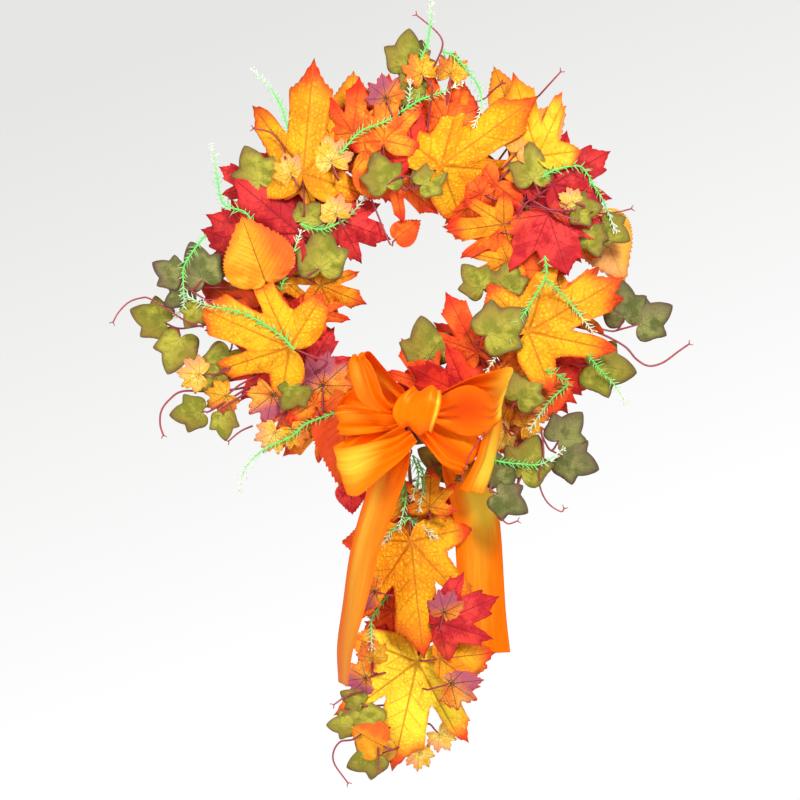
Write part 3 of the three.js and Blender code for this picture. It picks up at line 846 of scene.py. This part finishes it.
STARS = [
    ("upper_left", "star", -105, 102, -20, 21),
    ("over_yellow", "star", -69, 113, -12, 26),
    ("pink_inner", "star", -65, 66, -24, 21),
    ("top", "star_gold", 12, 192, -30, 22),
    ("top_right", "star_gold", 38, 193, 12, 21),
    ("right", "star", 148, 77, -60, 16),
    ("left", "star", -188, -78, -84, 22),
    ("left_low", "star_gold", -164, -97, -120, 22),
    ("lower_left_dark", "star_dark", -122, -96, -168, 30),
    ("lower_left", "star", -120, -130, -150, 22),
    ("beside_bow", "star_dark", -77, -88, 8, 34),
    ("lower_right", "star_gold", 106, -110, 112, 24),
    ("bow_right", "star", 88, -130, -118, 20),
    ("bow_right_high", "star_gold", 104, -124, 60, 20),
    ("top_brown", "star_dark", -20, 170, -10, 24),
    ("lower_left_low", "star_gold", -104, -128, 150, 20),
]
SWAG_STARS = [
    ("swag_dark", "star_dark", 32, -290, 24, 23),
    ("swag_right", "star_dark", 38, -354, 84, 30),
    ("swag_left", "star_gold", -32, -332, 4, 19),
    ("swag_left_low", "star_dark", -38, -350, -98, 24),
    ("swag_left_high", "star_dark", -30, -272, -70, 24),
    ("swag_bottom_right", "star", 28, -402, 146, 18),
    ("swag_bottom", "star", 10, -418, 186, 18),
]
IVIES = [
    ("ivy", -134, 95, -22, 36, None), ("ivy", -95, 60, 44, 24, None), ("ivy", 150, 70, 82, 26, None),
    ("ivy", 164, 50, 160, 24, None), ("ivy", 178, 57, 122, 27, None), ("ivy", 72, -42, 58, 42, None),
    ("ivy", 166, -70, 98, 42, -14), ("ivy", 99, -99, 42, 32, None), ("ivy_dark", -200, -4, -122, 24, -20),
    ("ivy", -190, -18, -150, 22, -20), ("ivy", -162, -60, -156, 34, -16), ("ivy", -172, -78, -130, 22, -18),
    ("ivy", -188, -112, -96, 28, -24), ("ivy", -166, -116, 175, 22, -26), ("ivy", -98, -90, -142, 26, None),
    ("ivy_dark", 82, -172, -12, 27, -42), ("ivy_dark", 82, -186, 122, 30, -44),
    ("ivy", 102, -166, 22, 38, -40), ("ivy", 36, -160, -62, 32, -30), ("ivy", 32, -158, 84, 28, -32),
    ("ivy", 4, 196, 16, 30, -16), ("ivy", 13, 92, 62, 26, None),
]
SWAG_IVIES = [
    ("ivy", -30, -392, -74, 32, -34), ("ivy", -52, -392, -92, 22, -32), ("ivy", -28, -420, -112, 30, -34),
    ("ivy", -44, -372, -60, 20, -34),
]
# The looks that the leaves at the back take by turns
FILLER_LOOKS = ["red", "orange", "ember", "gold", "crimson"]


def filler_leaves():
    """Leaves at the back of the garland, which point outwards and inwards by turns. Where the
    swag swings, two are left out."""
    rng = random.Random(7)
    for i in range(30):
        turn = 12 * i + rng.uniform(-3, 3)
        inwards = i % 2 == 1
        if i in (14, 16):
            continue
        radius = 118 if inwards else 140
        x, z = radius * math.sin(math.radians(turn)), radius * math.cos(math.radians(turn))
        points = turn + (180 if inwards else 0) + rng.uniform(-25, 25)
        look = FILLER_LOOKS[i % len(FILLER_LOOKS)]
        length = rng.uniform(44, 52) if inwards else rng.uniform(50, 60)
        pose = turned(x, -18 - (i % 3), z, points, length, rng.uniform(-4, 0), rng.uniform(-6, 6))
        shape = Shape()
        add_leaf(shape, PRINTED[look][1], pose, 600 + i, 0.3, 0.1, 3.0, 9, 0.8)
        shape.build_leaf(f"garland_leaf_{i + 1}", look, "root")
        stalks["root"].append((pose, pose.point(0, -0.3, -0.1)))


def more_leaves():
    for listed, body in ((MORE_LEAVES, "root"), (MORE_SWAG_LEAVES, "swag")):
        for seed, (name, look, kind, x, z, points, length, broad, depth) in enumerate(listed):
            y = rest_depth(x, z, points, length) - 3 if depth is None else depth
            pose = turned(x, y, z, points, length, -6, 5, broad)
            shape = Shape()
            add_leaf(shape, kind, pose, 100 + seed, step=2.4, rings=11)
            shape.build_leaf(f"{body}_leaf_{name}", look, body)
            laid.append(shape.tree())
            stalks[body].append((pose, pose.point(0, -0.3, -0.1)))


def small_maples():
    for listed, body in ((STARS, "root"), (SWAG_STARS, "swag")):
        for seed, (name, look, x, z, points, length) in enumerate(listed):
            y = rest_depth(x, z, points, length) - 3
            pose = turned(x, y, z, points, length, -4, 4)
            shape = Shape()
            add_leaf(shape, "star", pose, 200 + seed, step=3.0, rings=8)
            shape.build_leaf(f"small_maple_{name}", look, body)
            laid.append(shape.tree())
            stalks[body].append((pose, pose.point(0.1, -0.7, -0.05)))


# The leaves of the CAD ivy sprays: look, then x, z, the way each leaf points and its length
CAD_IVY = {
    "ivy_inner_left": ("ivy", [(-79, 17, 4, 40)]),
    "ivy_inner_top": ("ivy", [(-20, 92, -20, 32), (14, 94, 30, 26)]),
    "ivy_top": ("ivy", [(-2, 200, 5, 34), (2, 172, -10, 28)]),
    "ivy_upper_right": ("ivy", [(112, 98, -5, 34)]),
    "ivy_inner_right": ("ivy", [(66, 0, -40, 28), (88, -2, 10, 30)]),
    "ivy_inner_bottom": ("ivy", [(18, -62, -10, 38)]),
    "ivy_outer_right": ("ivy_dark", [(196, -26, -8, 36), (210, -32, 60, 34)]),
    "ivy_lower_right": ("ivy_dark", [(136, -136, 40, 32), (140, -152, 110, 34)]),
    "ivy_outer_left": ("ivy", [(-222, -30, -70, 32), (-206, -46, -160, 34)]),
    "ivy_left": ("ivy_dark", [(-184, 8, -20, 36), (-208, 10, -60, 26)]),
}
# and the routes of their stems, as (x, z)
IVY_STEMS = {
    "ivy_inner_left": [[(-79, 17), (-92, 10)]],
    "ivy_inner_top": [[(-20, 92), (-4, 100), (14, 94)]],
    "ivy_top": [[(-2, 200), (4, 186), (2, 172), (8, 150)]],
    "ivy_upper_right": [[(112, 98), (118, 84)]],
    "ivy_inner_right": [[(66, 0), (78, -8), (88, -2)], [(78, -8), (96, -14)]],
    "ivy_inner_bottom": [[(18, -62), (36, -76)]],
    "ivy_outer_right": [[(196, -26), (188, -38), (172, -36), (152, -32)], [(188, -38), (210, -32)]],
    "ivy_lower_right": [[(136, -136), (128, -146), (118, -128), (112, -116)], [(128, -146), (140, -152)]],
    "ivy_outer_left": [[(-222, -30), (-208, -36), (-190, -34), (-152, -28)], [(-208, -36), (-206, -46)]],
    "ivy_left": [[(-184, 8), (-196, -2), (-208, 10)], [(-196, -2), (-168, -20)]],
}


def ivy_sprays():
    for seed, (node, (look, leaves)) in enumerate(CAD_IVY.items()):
        _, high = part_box(node)
        depth = (high.y - RING.y) / MM - 1.2
        shape = Shape()
        for i, (x, z, points, length) in enumerate(leaves):
            pose = turned(x, depth, z, points, length)
            add_leaf(shape, "ivy", pose, 300 + 3 * seed + i, 0.06, 0.06, 3.0, 9)
        shape.build_leaf(node + "_silk", look, "root", [node])
        laid.append(shape.tree())
        stems = Shape()
        for route in IVY_STEMS[node]:
            add_tube(stems, smooth_path([at(x, depth + 0.8, z) for x, z in route]), 1.0, 0.8, 6)
        stems.build(node + "_stem", TENDRIL_PLASTIC, "root")


def more_ivy():
    """Single ivy leaves, one piece for those of each look and body."""
    for listed, body in ((IVIES, "root"), (SWAG_IVIES, "swag")):
        for look in ("ivy", "ivy_dark"):
            shape = Shape()
            for seed, (own_look, x, z, points, length, depth) in enumerate(listed):
                if own_look != look:
                    continue
                y = rest_depth(x, z, points, length) - 2.5 if depth is None else depth
                pose = turned(x, y, z, points, length, -5, 6)
                add_leaf(shape, "ivy", pose, 400 + seed, 0.08, 0.08, 3.0, 9)
                stalks[body].append((pose, pose.point(0, -0.35, -0.1)))
            if shape.points:
                shape.build_leaf(f"{body}_{look}_leaves", look, body)
                laid.append(shape.tree())


# ------------------------------------------------------------------------------ sprigs and tendrils

# Routes from the stem to the tip: as (x, z) they lie on what is there, as (x, y, z) they don't
SPRIGS = [
    [(-97, 57), (-79, 52), (-61, 59), (-52, 66), (-41, 79)],
    [(-96, -17, 116), (-106, -18, 138), (-114, -19, 162), (-124, -20, 180), (-138, -20, 194)],
    [(-61, 120), (-43, 140), (-21, 149), (-7, 158), (0, 166), (2, 183)],
    [(-7, 158), (11, 169), (29, 176), (45, 183)],
    [(11, 205), (17, 219), (20, 239), (21, 254)],
    [(29, 214), (42, 208), (56, 192), (65, 178), (65, 160), (60, 147)],
    [(120, 99), (132, 106), (153, 110), (162, 102), (168, 91), (176, 79), (186, 54)],
    [(123, 7), (137, -6), (150, -20), (164, -38)],
    [(161, -60), (173, -74), (186, -87), (195, -101)],
    [(123, -74), (139, -81), (143, -87), (128, -101), (110, -125)],
    [(68, -152), (83, -156), (101, -158), (119, -158), (137, -146)],
    [(-183, 48), (-194, 32), (-202, 16), (-202, -15), (-210, -24)],
    [(-102, -56), (-112, -45), (-129, -33), (-151, -22), (-183, -15), (-201, -6)],
    [(-115, -2), (-102, 34), (-97, 48)],
    [(-66, -112), (-79, -117), (-93, -123), (-106, -134), (-131, -146), (-148, -164), (-151, -180)],
]
SWAG_SPRIGS = [
    [(4, -150), (9, -168), (4, -186)],
    [(-3, -173), (-5, -191), (0, -206), (17, -218)],
    [(2, -206), (-12, -215), (-21, -227)],
    [(-18, -276), (-27, -288), (-33, -299), (-33, -320)],
    [(2, -150), (-4, -166), (-2, -188), (-8, -214)],
    [(8, -154), (14, -172), (10, -196)],
    [(-6, -200), (6, -212), (22, -222)],
]
CAD_SPRIGS = {
    "sprig_left": [(-138, 57), (-147, 68), (-160, 72), (-167, 77), (-170, 88), (-173, 108), (-176, 126)],
    "sprig_right": [(122, 28), (123, 10), (112, -10), (98, -32), (84, -54), (72, -72)],
}
CAD_TENDRILS = {
    "tendril_left": [
        (-140, -4, -87), (-156, -8, -91), (-180, -12, -93), (-204, -14, -93),
        (-216, -14, -101), (-223, -13, -111), (-224, -12, -123), (-221, -12, -133),
    ],
    "tendril_right": [
        (150, -6, -34), (172, -8, -40), (195, -10, -52), (206, -12, -64),
        (217, -12, -70), (230, -11, -67), (244, -10, -57), (254, -10, -50),
    ],
}
TENDRILS = [
    [(-110, 115), (-112, 126), (-124, 140), (-140, 144)],
    [(23, 198), (30, 214), (30, 223), (23, 232), (7, 245)],
    [(38, 169), (56, 169), (69, 173), (76, 180), (86, 188)],
    [(164, 68), (177, 68), (191, 70), (203, 73)],
    [(-184, -35), (-196, -32), (-208, -25), (-232, -10), (-241, -9), (-252, -13), (-261, -22), (-266, -31)],
    [(-140, -124), (-151, -129), (-162, -138)],
    [(119, -125), (121, -150), (117, -168), (119, -182), (126, -194), (137, -201), (140, -198)],
    [(117, 172), (137, 194)],
    [(98, 64), (108, 78), (122, 82), (142, 74)],
    [(104, 74), (120, 72), (134, 66), (152, 60)],
    [(112, 78), (128, 70), (150, 70)],
]
SWAG_TENDRILS = [
    [(-42, -400), (-50, -405), (-61, -407), (-67, -416), (-66, -427), (-54, -444)],
    [(-40, -362), (-50, -364), (-57, -367), (-67, -374)],
    [(-27, -412), (-27, -420), (-26, -432)],
]
# Two that hang free, one over the bow's right side and one beside the right tail
OVER_THE_BOW = [(84, -52, -112), (74, -66, -121), (60, -76, -140), (53, -76, -152), (47, -68, -171)]
BESIDE_THE_TAIL = [(82, -40, -186), (80, -41, -200), (88, -41, -211), (98, -40, -209)]


def lie(route, gap=2.5):
    """Lays a route of (x, z) on what is there, and lets it hang free at an even depth beyond it."""
    depths = [front_of(x, z, None) for x, z in route]
    known = [d for d in depths if d is not None]
    rest = max(known) if known else BACK
    depths = [rest if d is None else d for d in depths]
    eased = []
    for i, depth in enumerate(depths):
        near = depths[max(0, i - 1) : i + 2]
        eased.append(min(depth, sum(near) / len(near)) - gap)
    return [at(x, y, z) for (x, z), y in zip(route, eased)]


def add_bud(shape, centre, direction, size):
    """A small white drop-shaped bud."""
    side = direction.orthogonal().normalized()
    other = direction.cross(side)
    points, faces = [centre - direction * size * 1.3], []
    rows = [(-0.6, 0.7), (0.3, 0.9), (0.9, 0.5)]
    for up, wide in rows:
        for k in range(5):
            turn = 2 * math.pi * k / 5
            out = (side * math.cos(turn) + other * math.sin(turn)) * wide * 0.8
            points.append(centre + (direction * up * 1.3 + out) * size)
    points.append(centre + direction * size * 1.7)
    for k in range(5):
        j = (k + 1) % 5
        faces.append((0, 1 + j, 1 + k))
        for row in range(len(rows) - 1):
            a, b = 1 + 5 * row, 6 + 5 * row
            faces.append((a + k, a + j, b + j, b + k))
        faces.append((11 + k, 11 + j, 16))
    spots = [(p.x / MM, p.z / MM, 0.0) for p in points]
    tones = [(1.0, 1.0, 0.4)] * len(points)
    shape.add(points, faces, spots, tones)


def add_needle(shape, root, direction, length, share, width=0.6):
    """A flat pointed needle, a little thicker at its root."""
    side = direction.orthogonal().normalized() * width * MM
    other = direction.cross(side).normalized() * width * MM
    middle = root + direction * length * 0.55
    tip = root + direction * length
    points = [root + side, root + other, root - side, root - other]
    points += [middle + side * 0.9, middle + other * 0.6, middle - side * 0.9, middle - other * 0.6, tip]
    faces = [(k, (k + 1) % 4, 4 + (k + 1) % 4, 4 + k) for k in range(4)]
    faces += [(4 + k, 4 + (k + 1) % 4, 8) for k in range(4)]
    spots = [(p.x / MM, p.z / MM, share) for p in points]
    tones = [(share, 0.0, 0.0)] * 4 + [(share + 0.1, 0.5, 0.1)] * 4 + [(share + 0.2, 1.0, 0.35)]
    shape.add(points, faces, spots, tones)


def add_sprig(shape, route, seed, white=0.0):
    """A moulded grass sprig: a stem with pairs of needles and a bunch of buds at its tip."""
    rng = random.Random(seed)
    path = smooth_path(route, 1.4)
    add_tube(shape, path, 0.95, 0.6, 6, (white, 0.9), seed)
    placed = frames(path)
    for i in range(1, len(placed) - 1, 3):
        point, ahead, _, _ = placed[i]
        share = white + (1 - white) * i / (len(placed) - 1)
        level = ahead.cross(Vector((0, 1, 0))).normalized()
        for way in (-1, 1):
            root = point + ahead * rng.uniform(-1.5, 1.5) * MM
            out = level * way + Vector((0, rng.uniform(-1.0, 0.5), 0))
            direction = (ahead * rng.uniform(0.3, 1.7) + out).normalized()
            add_needle(shape, root, direction, rng.uniform(5.0, 11.5) * MM * (1 - 0.3 * share), share)
    end, ahead, a, b = placed[-1]
    for k in range(5):
        turn = 2 * math.pi * k / 5
        spread = 0.0 if k == 0 else 0.75
        direction = (ahead + (a * math.cos(turn) + b * math.sin(turn)) * spread).normalized()
        reach = rng.uniform(3.0, 5.0) * MM
        add_needle(shape, end, direction, reach, 1.0, 0.4)
        add_bud(shape, end + direction * reach, direction, rng.uniform(0.7, 1.0) * MM)


def sprigs():
    for seed, (node, route) in enumerate(CAD_SPRIGS.items()):
        low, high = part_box(node)
        depth = ((low.y + high.y) / 2 - RING.y) / MM
        shape = Shape()
        add_sprig(shape, [at(x, depth, z) for x, z in route], 500 + seed, 0.3 * seed)
        shape.build(node + "_moulded", SPRIG_PLASTIC, "root", 0, [node])
    for listed, body in ((SPRIGS, "root"), (SWAG_SPRIGS, "swag")):
        for seed, route in enumerate(listed):
            shape = Shape()
            placed = lie(route) if len(route[0]) == 2 else [at(*p) for p in route]
            add_sprig(shape, placed, 520 + seed, 0.15 * (seed % 3))
            shape.build(f"{body}_sprig_{seed + 1}", SPRIG_PLASTIC, body)


def add_tendril(shape, points, radius=0.95):
    """A bent plastic-coated wire that ends in two short horns."""
    path = smooth_path(points)
    add_tube(shape, path, radius, radius * 0.75, 7)
    end, ahead, _, _ = frames(path)[-1]
    level = ahead.cross(Vector((0, 1, 0))).normalized()
    for way in (-1, 1):
        middle = end + (ahead * 0.8 + level * way * 1.6) * MM
        tip = end + (ahead * 2.4 + level * way * 2.6) * MM
        add_tube(shape, smooth_path([end, middle, tip], 0.8), 0.6, 0.35, 5, (1.0, 1.0))


def tendrils():
    for node, route in CAD_TENDRILS.items():
        shape = Shape()
        add_tendril(shape, [at(*p) for p in route], 1.15)
        shape.build(node + "_coated", TENDRIL_PLASTIC, "root", 0, [node])
    for listed, body in ((TENDRILS, "root"), (SWAG_TENDRILS, "swag")):
        shape = Shape()
        for route in listed:
            add_tendril(shape, lie(route, 2))
        if body == "root":
            add_tendril(shape, [at(*p) for p in OVER_THE_BOW], 0.7)
            add_tendril(shape, [at(*p) for p in BESIDE_THE_TAIL])
        shape.build(f"{body}_tendrils", TENDRIL_PLASTIC, body)


# ------------------------------------------------------------------------------ ribbon

# The two edges of each strip, as (x, y, z). A loop leaves the knot, turns over and comes back
# behind itself.
LOOPS = {
    "bow_loop_left": (
        [(-8, -68, -113), (-33, -64, -109), (-47, -60, -106), (-56, -56, -105), (-62, -52, -106),
         (-59, -44, -98), (-50, -40, -90), (-34, -44, -95), (-12, -54, -104)],
        [(-8, -78, -126), (-26, -84, -129), (-39, -84, -131), (-50, -80, -132), (-61, -72, -131),
         (-58, -64, -124), (-50, -60, -116), (-33, -62, -117), (-12, -66, -118)],
    ),
    "bow_loop_lower_right": (
        [(24, -72, -115), (42, -66, -122), (57, -62, -130), (68, -54, -141), (66, -46, -148),
         (44, -46, -136), (20, -56, -118)],
        [(8, -80, -127), (19, -82, -145), (30, -82, -158), (47, -76, -164), (41, -66, -164),
         (24, -62, -148), (8, -66, -130)],
    ),
    "bow_loop_upper_left": (
        [(-24, -84, -110), (-41, -78, -101), (-49, -74, -85), (-52, -70, -73), (-51, -66, -65),
         (-46, -60, -61), (-46, -54, -72), (-36, -54, -89), (-20, -58, -104), (-12, -66, -110)],
        [(-12, -96, -108), (-20, -102, -98), (-26, -104, -83), (-32, -102, -70), (-38, -98, -62),
         (-34, -92, -59), (-24, -88, -70), (-12, -84, -84), (-3, -82, -94), (0, -84, -104)],
    ),
    "bow_loop_right": (
        [(22, -90, -104), (35, -98, -94), (51, -100, -88), (65, -98, -92), (76, -92, -101),
         (85, -86, -92), (92, -82, -73), (74, -78, -75), (51, -76, -81), (20, -76, -96)],
        [(22, -86, -120), (38, -78, -129), (51, -72, -133), (66, -70, -132), (75, -68, -126),
         (81, -62, -120), (78, -50, -113), (66, -46, -106), (48, -52, -102), (22, -68, -110)],
    ),
    "bow_loop_lower_left": (
        [(2, -92, -128), (-11, -90, -134), (-29, -88, -138), (-46, -86, -141), (-58, -84, -143),
         (-66, -78, -142), (-57, -72, -136), (-46, -70, -129), (-26, -72, -125), (-6, -80, -122)],
        [(8, -100, -138), (-4, -106, -152), (-22, -110, -167), (-37, -110, -180), (-46, -108, -185),
         (-54, -102, -182), (-50, -94, -168), (-34, -90, -154), (-16, -88, -140), (-2, -88, -128)],
    ),
    "bow_return": (
        [(26, -62, -112), (50, -62, -110), (66, -64, -124), (62, -64, -148), (54, -62, -168),
         (47, -60, -182)],
        [(28, -48, -98), (60, -38, -94), (82, -34, -112), (80, -34, -146), (74, -36, -168),
         (68, -38, -184)],
    ),
    "bow_knot": (
        [(-4, -86, -100), (1, -96, -91), (-9, -104, -99), (-14, -106, -111), (-11, -104, -120),
         (-7, -96, -124), (-4, -86, -120)],
        [(24, -86, -98), (28, -96, -91), (29, -104, -100), (27, -106, -111), (23, -104, -122),
         (20, -96, -130), (18, -86, -126)],
    ),
}
# How many pleats each has, how smooth it is half-way, and its spots of painted light: where along
# it and across it each lies, how far it spreads both ways, and its strength, a painted highlight above 0
# and painted shade inside below 0
FOLDS = {
    "bow_loop_left": (3, 0.3, [(0.35, 0.3, 0.25, 0.1, 0.6), (0.3, 0.3, 0.65, 0.1, -0.5)]),
    "bow_loop_lower_right": (3, 0.2, [(0.3, 0.3, 0.3, 0.1, 0.4), (0.3, 0.4, 0.6, 0.2, -0.6)]),
    "bow_loop_upper_left": (
        2, 0.4, [(0.76, 0.12, 0.6, 0.2, 1.0), (0.35, 0.2, 0.2, 0.15, 0.5), (0.6, 0.1, 0.3, 0.2, -0.8)]),
    "bow_loop_right": (3, 0.45, [(0.2, 0.25, 0.45, 0.4, -0.8), (0.62, 0.14, 0.5, 0.6, 1.5)]),
    "bow_loop_lower_left": (2, 0.6, [(0.36, 0.24, 0.35, 0.5, 0.7), (0.1, 0.14, 0.6, 0.4, -0.4)]),
    "bow_knot": (2, 0.8, [(0.5, 0.5, 0.93, 0.05, 0.8), (0.2, 0.3, 0.4, 0.4, -0.3)]),
    "bow_return": (2, 0.75, [(0.7, 0.3, 0.6, 0.4, 1.0)]),
    "ribbon_tail_left": (3, 0.3, [(0.3, 0.35, 0.3, 0.2, 0.5), (0.7, 0.6, 0.7, 0.4, 0.5)]),
    "ribbon_tail_right": (3, 0.3, [(0.36, 0.16, 0.7, 0.35, 1.3), (0.7, 0.3, 0.4, 0.4, 0.4)]),
}
ACROSS = 36  # faces across a ribbon
DEEPEST_PLEAT = 4.6


def painted_light(spots, share, u):
    """The painted light on the satin there, from 1, a painted highlight band, to -1, the deepest painted
    shade.
    """
    total = 0.0
    for along, long, across, wide, strength in spots:
        total += strength * math.exp(-(((share - along) / long) ** 2) - ((u - across) / wide) ** 2)
    return total


def add_strip(shape, first, second, pleats, smooth, painted_light_spots, seed):
    """Ribbon between two edges. Where they are nearer together than the ribbon is wide, it is
    gathered into pleats as deep as its width needs; smooth is the share left out half-way. The
    spots of painted light give each point its painted highlight or painted shade."""
    rows, spots, tones = [], [], []
    length = 0.0
    full = RIBBON_WIDTH * MM
    for i, (a, b) in enumerate(zip(first, second)):
        if i:
            length += ((a + b) / 2 - (first[i - 1] + second[i - 1]) / 2).length / MM
        ahead = (first[min(i + 1, len(first) - 1)] - first[max(i - 1, 0)]).normalized()
        width = b - a
        normal = ahead.cross(width).normalized()
        share = i / (len(first) - 1)
        pinch = max(0.0, 1 - min(share, 1 - share) / 0.4)
        depth = math.sqrt(max(0.0, full ** 2 - width.length_squared)) / (4 * pleats)
        depth = min(depth, DEEPEST_PLEAT * MM) * (1 - smooth * (1 - pinch))
        for k in range(ACROSS + 1):
            u = k / ACROSS
            swell = u + 0.09 * math.sin(2 * math.pi * u + seed)
            fold = math.sin(2 * math.pi * pleats * swell + 2 * seed + 1.2 * share) * depth
            fold *= 0.75 + 0.35 * math.sin(5 * u + 3 * seed)
            crown = math.sin(math.pi * u) * 1.5 * MM * (1 - pinch)
            rows.append(a + width * u + normal * (fold + crown))
            spots.append(((u - 0.5) * RIBBON_WIDTH, length, seed))
            # the third tone is the painted highlight, or the painted shade below 0, at this point
            tones.append((share, u, painted_light(painted_light_spots, share, u)))
    faces = []
    for i in range(len(first) - 1):
        for k in range(ACROSS):
            p = i * (ACROSS + 1) + k
            faces.append((p, p + 1, p + ACROSS + 2, p + ACROSS + 1))
    shape.add(rows, faces, spots, tones)
    return length


def bow():
    for seed, (node, (first, second)) in enumerate(LOOPS.items()):
        shape = Shape()
        sides = [smooth_path([at(*p) for p in edge], each=12) for edge in (first, second)]
        length = add_strip(shape, *sides, *FOLDS[node], seed)
        replaced = [node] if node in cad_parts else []
        piece = shape.build(node + "_satin", SATIN_ORANGE, "root", SATIN, replaced)


# The tails' middle lines, and how far each turns about its own length
TAILS = {
    "left": (
        [(-6, -76, -132), (-16, -76, -164), (-37, -76, -228), (-48, -76, -282), (-56, -76, -320),
         (-58, -76, -352)],
        (-44, -80),
    ),
    "right": ([(36, -36, -140), (53, -22, -174), (62, -9, -212), (67, -6, -290), (71, -6, -330)], (34, 30)),
}


def tails():
    """The two tails, each gathered where it leaves the knot and full wide below."""
    for seed, (side, (route, turns)) in enumerate(TAILS.items()):
        path = smooth_path([at(*p) for p in route], each=20)
        first, second = [], []
        for i, middle in enumerate(path):
            share = i / (len(path) - 1)
            opening = min(1.0, max(0.0, (share + 0.1) / 0.35))
            half = RIBBON_WIDTH * (0.25 + 0.75 * opening * opening * (3 - 2 * opening)) / 2
            turn = math.radians(turns[0] + (turns[1] - turns[0]) * share)
            across = Vector((math.cos(turn), math.sin(turn), 0)) * half * MM
            first.append(middle - across)
            second.append(middle + across)
        shape = Shape()
        name = f"ribbon_tail_{side}"
        length = add_strip(shape, first, second, *FOLDS[name], seed + 10)
        piece = shape.build(name + "_satin", SATIN_ORANGE, f"{side}_tail", SATIN, [name])


# ------------------------------------------------------------------------------ vine and wires


def vine():
    """Three strands wound about each other, in place of the CAD ones."""
    for strand in range(3):
        points = []
        for i in range(400):
            turn = 2 * math.pi * i / 400
            twist = TWIST_ROUND * turn + 2 * math.pi * strand / 3
            radius = VINE_RADIUS + VINE_TWIST * math.cos(twist)
            depth = VINE_TWIST * math.sin(twist)
            points.append(at(radius * math.sin(turn), depth, radius * math.cos(turn)))
        points.append(points[0])
        shape = Shape()
        add_tube(shape, points, 4.8, 4.8, 14, (0, 1), strand, 0.14)
        name = f"vine_strand_{strand + 1}"
        shape.build(name + "_bark", BARK, "root", 0, [name])


def cad_materials():
    """Looks for the CAD stems and wires that stay in view."""
    for node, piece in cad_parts.items():
        if piece.hide_render:
            continue
        material = STEM_PLASTIC if node.endswith("stem") else WIRE
        piece.data.materials.clear()
        piece.data.materials.append(material)


lay_cad_solids([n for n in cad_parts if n.startswith(("ivy", "sprig"))])
cad_leaves()
ivy_sprays()
filler_leaves()
more_leaves()
small_maples()
more_ivy()
sprigs()
tendrils()
leaf_stalks()
bow()
tails()
vine()
cad_materials()


# ------------------------------------------------------------------------------ studio


def lamp(name, place, size, power):
    data = bpy.data.lights.new(name, "AREA")
    data.size = size
    data.energy = power
    light = bpy.data.objects.new(name, data)
    light.location = place
    target = Vector((0, -0.04, RING.z - 0.08))
    light.rotation_euler = (target - Vector(place)).to_track_quat("-Z", "Y").to_euler()
    bpy.context.scene.collection.objects.link(light)


def studio():
    """A bright studio. The camera sees a plain wall with painted light on it, greyer high and to the left,
    that fades to white, low and to the right.
    """
    world = bpy.data.worlds.new("studio")
    world.use_nodes = True
    n = Tree(world.node_tree)
    soft = n.tree.nodes["Background"]
    soft.inputs["Color"].default_value = (0.95, 0.95, 0.96, 1)
    soft.inputs["Strength"].default_value = 0.34
    direction = n.add("TexCoord").outputs["Generated"]
    # painted light on the wall: darker high and to the left, white low and to the right
    lean = n.add("VectorMath", direction, (0.35, 0.0, -1.0), operation="DOT_PRODUCT").outputs["Value"]
    shade = n.add("MapRange", lean, -0.13, 0.06).outputs[0]
    seen = n.add("Background", n.mix(shade, colour("e6e6e4"), colour("ffffff"))).outputs[0]
    camera_ray = n.add("LightPath").outputs["Is Camera Ray"]
    either = n.add("MixShader", camera_ray, soft.outputs[0], seen).outputs[0]
    n.put(n.tree.nodes["World Output"].inputs["Surface"], either)
    bpy.context.scene.world = world
    bpy.context.scene.view_settings.view_transform = "Standard"
    lamp("key", (0.8, -1.5, 1.0), 0.6, 39)
    lamp("fill", (-1.2, -1.2, 0.1), 0.9, 15)
    lamp("low", (0.3, -1.5, -1.3), 0.8, 17)
    lamp("back", (0.4, 1.6, 0.6), 1.0, 14)


def floor():
    n = Nodes("floor_paint", Roughness=0.8)
    place = n.add("TexCoord").outputs["Object"]
    speck = n.noise(place, 60.0, 3.0)
    n.finish(n.mix(speck, colour("e6e4e2"), colour("eeecea")), speck, 0.2 * MM)
    level = cad_low.z - 0.13
    corners = [(-1.6, -1.8), (1.6, -1.8), (1.6, 0.45), (-1.6, 0.45)]
    mesh = bpy.data.meshes.new("floor")
    mesh.from_pydata([(x, y, level) for x, y in corners], [], [(0, 1, 2, 3)])
    mesh.materials.append(n.material)
    piece = bpy.data.objects.new("floor", mesh)
    bpy.context.scene.collection.objects.link(piece)


studio()
floor()
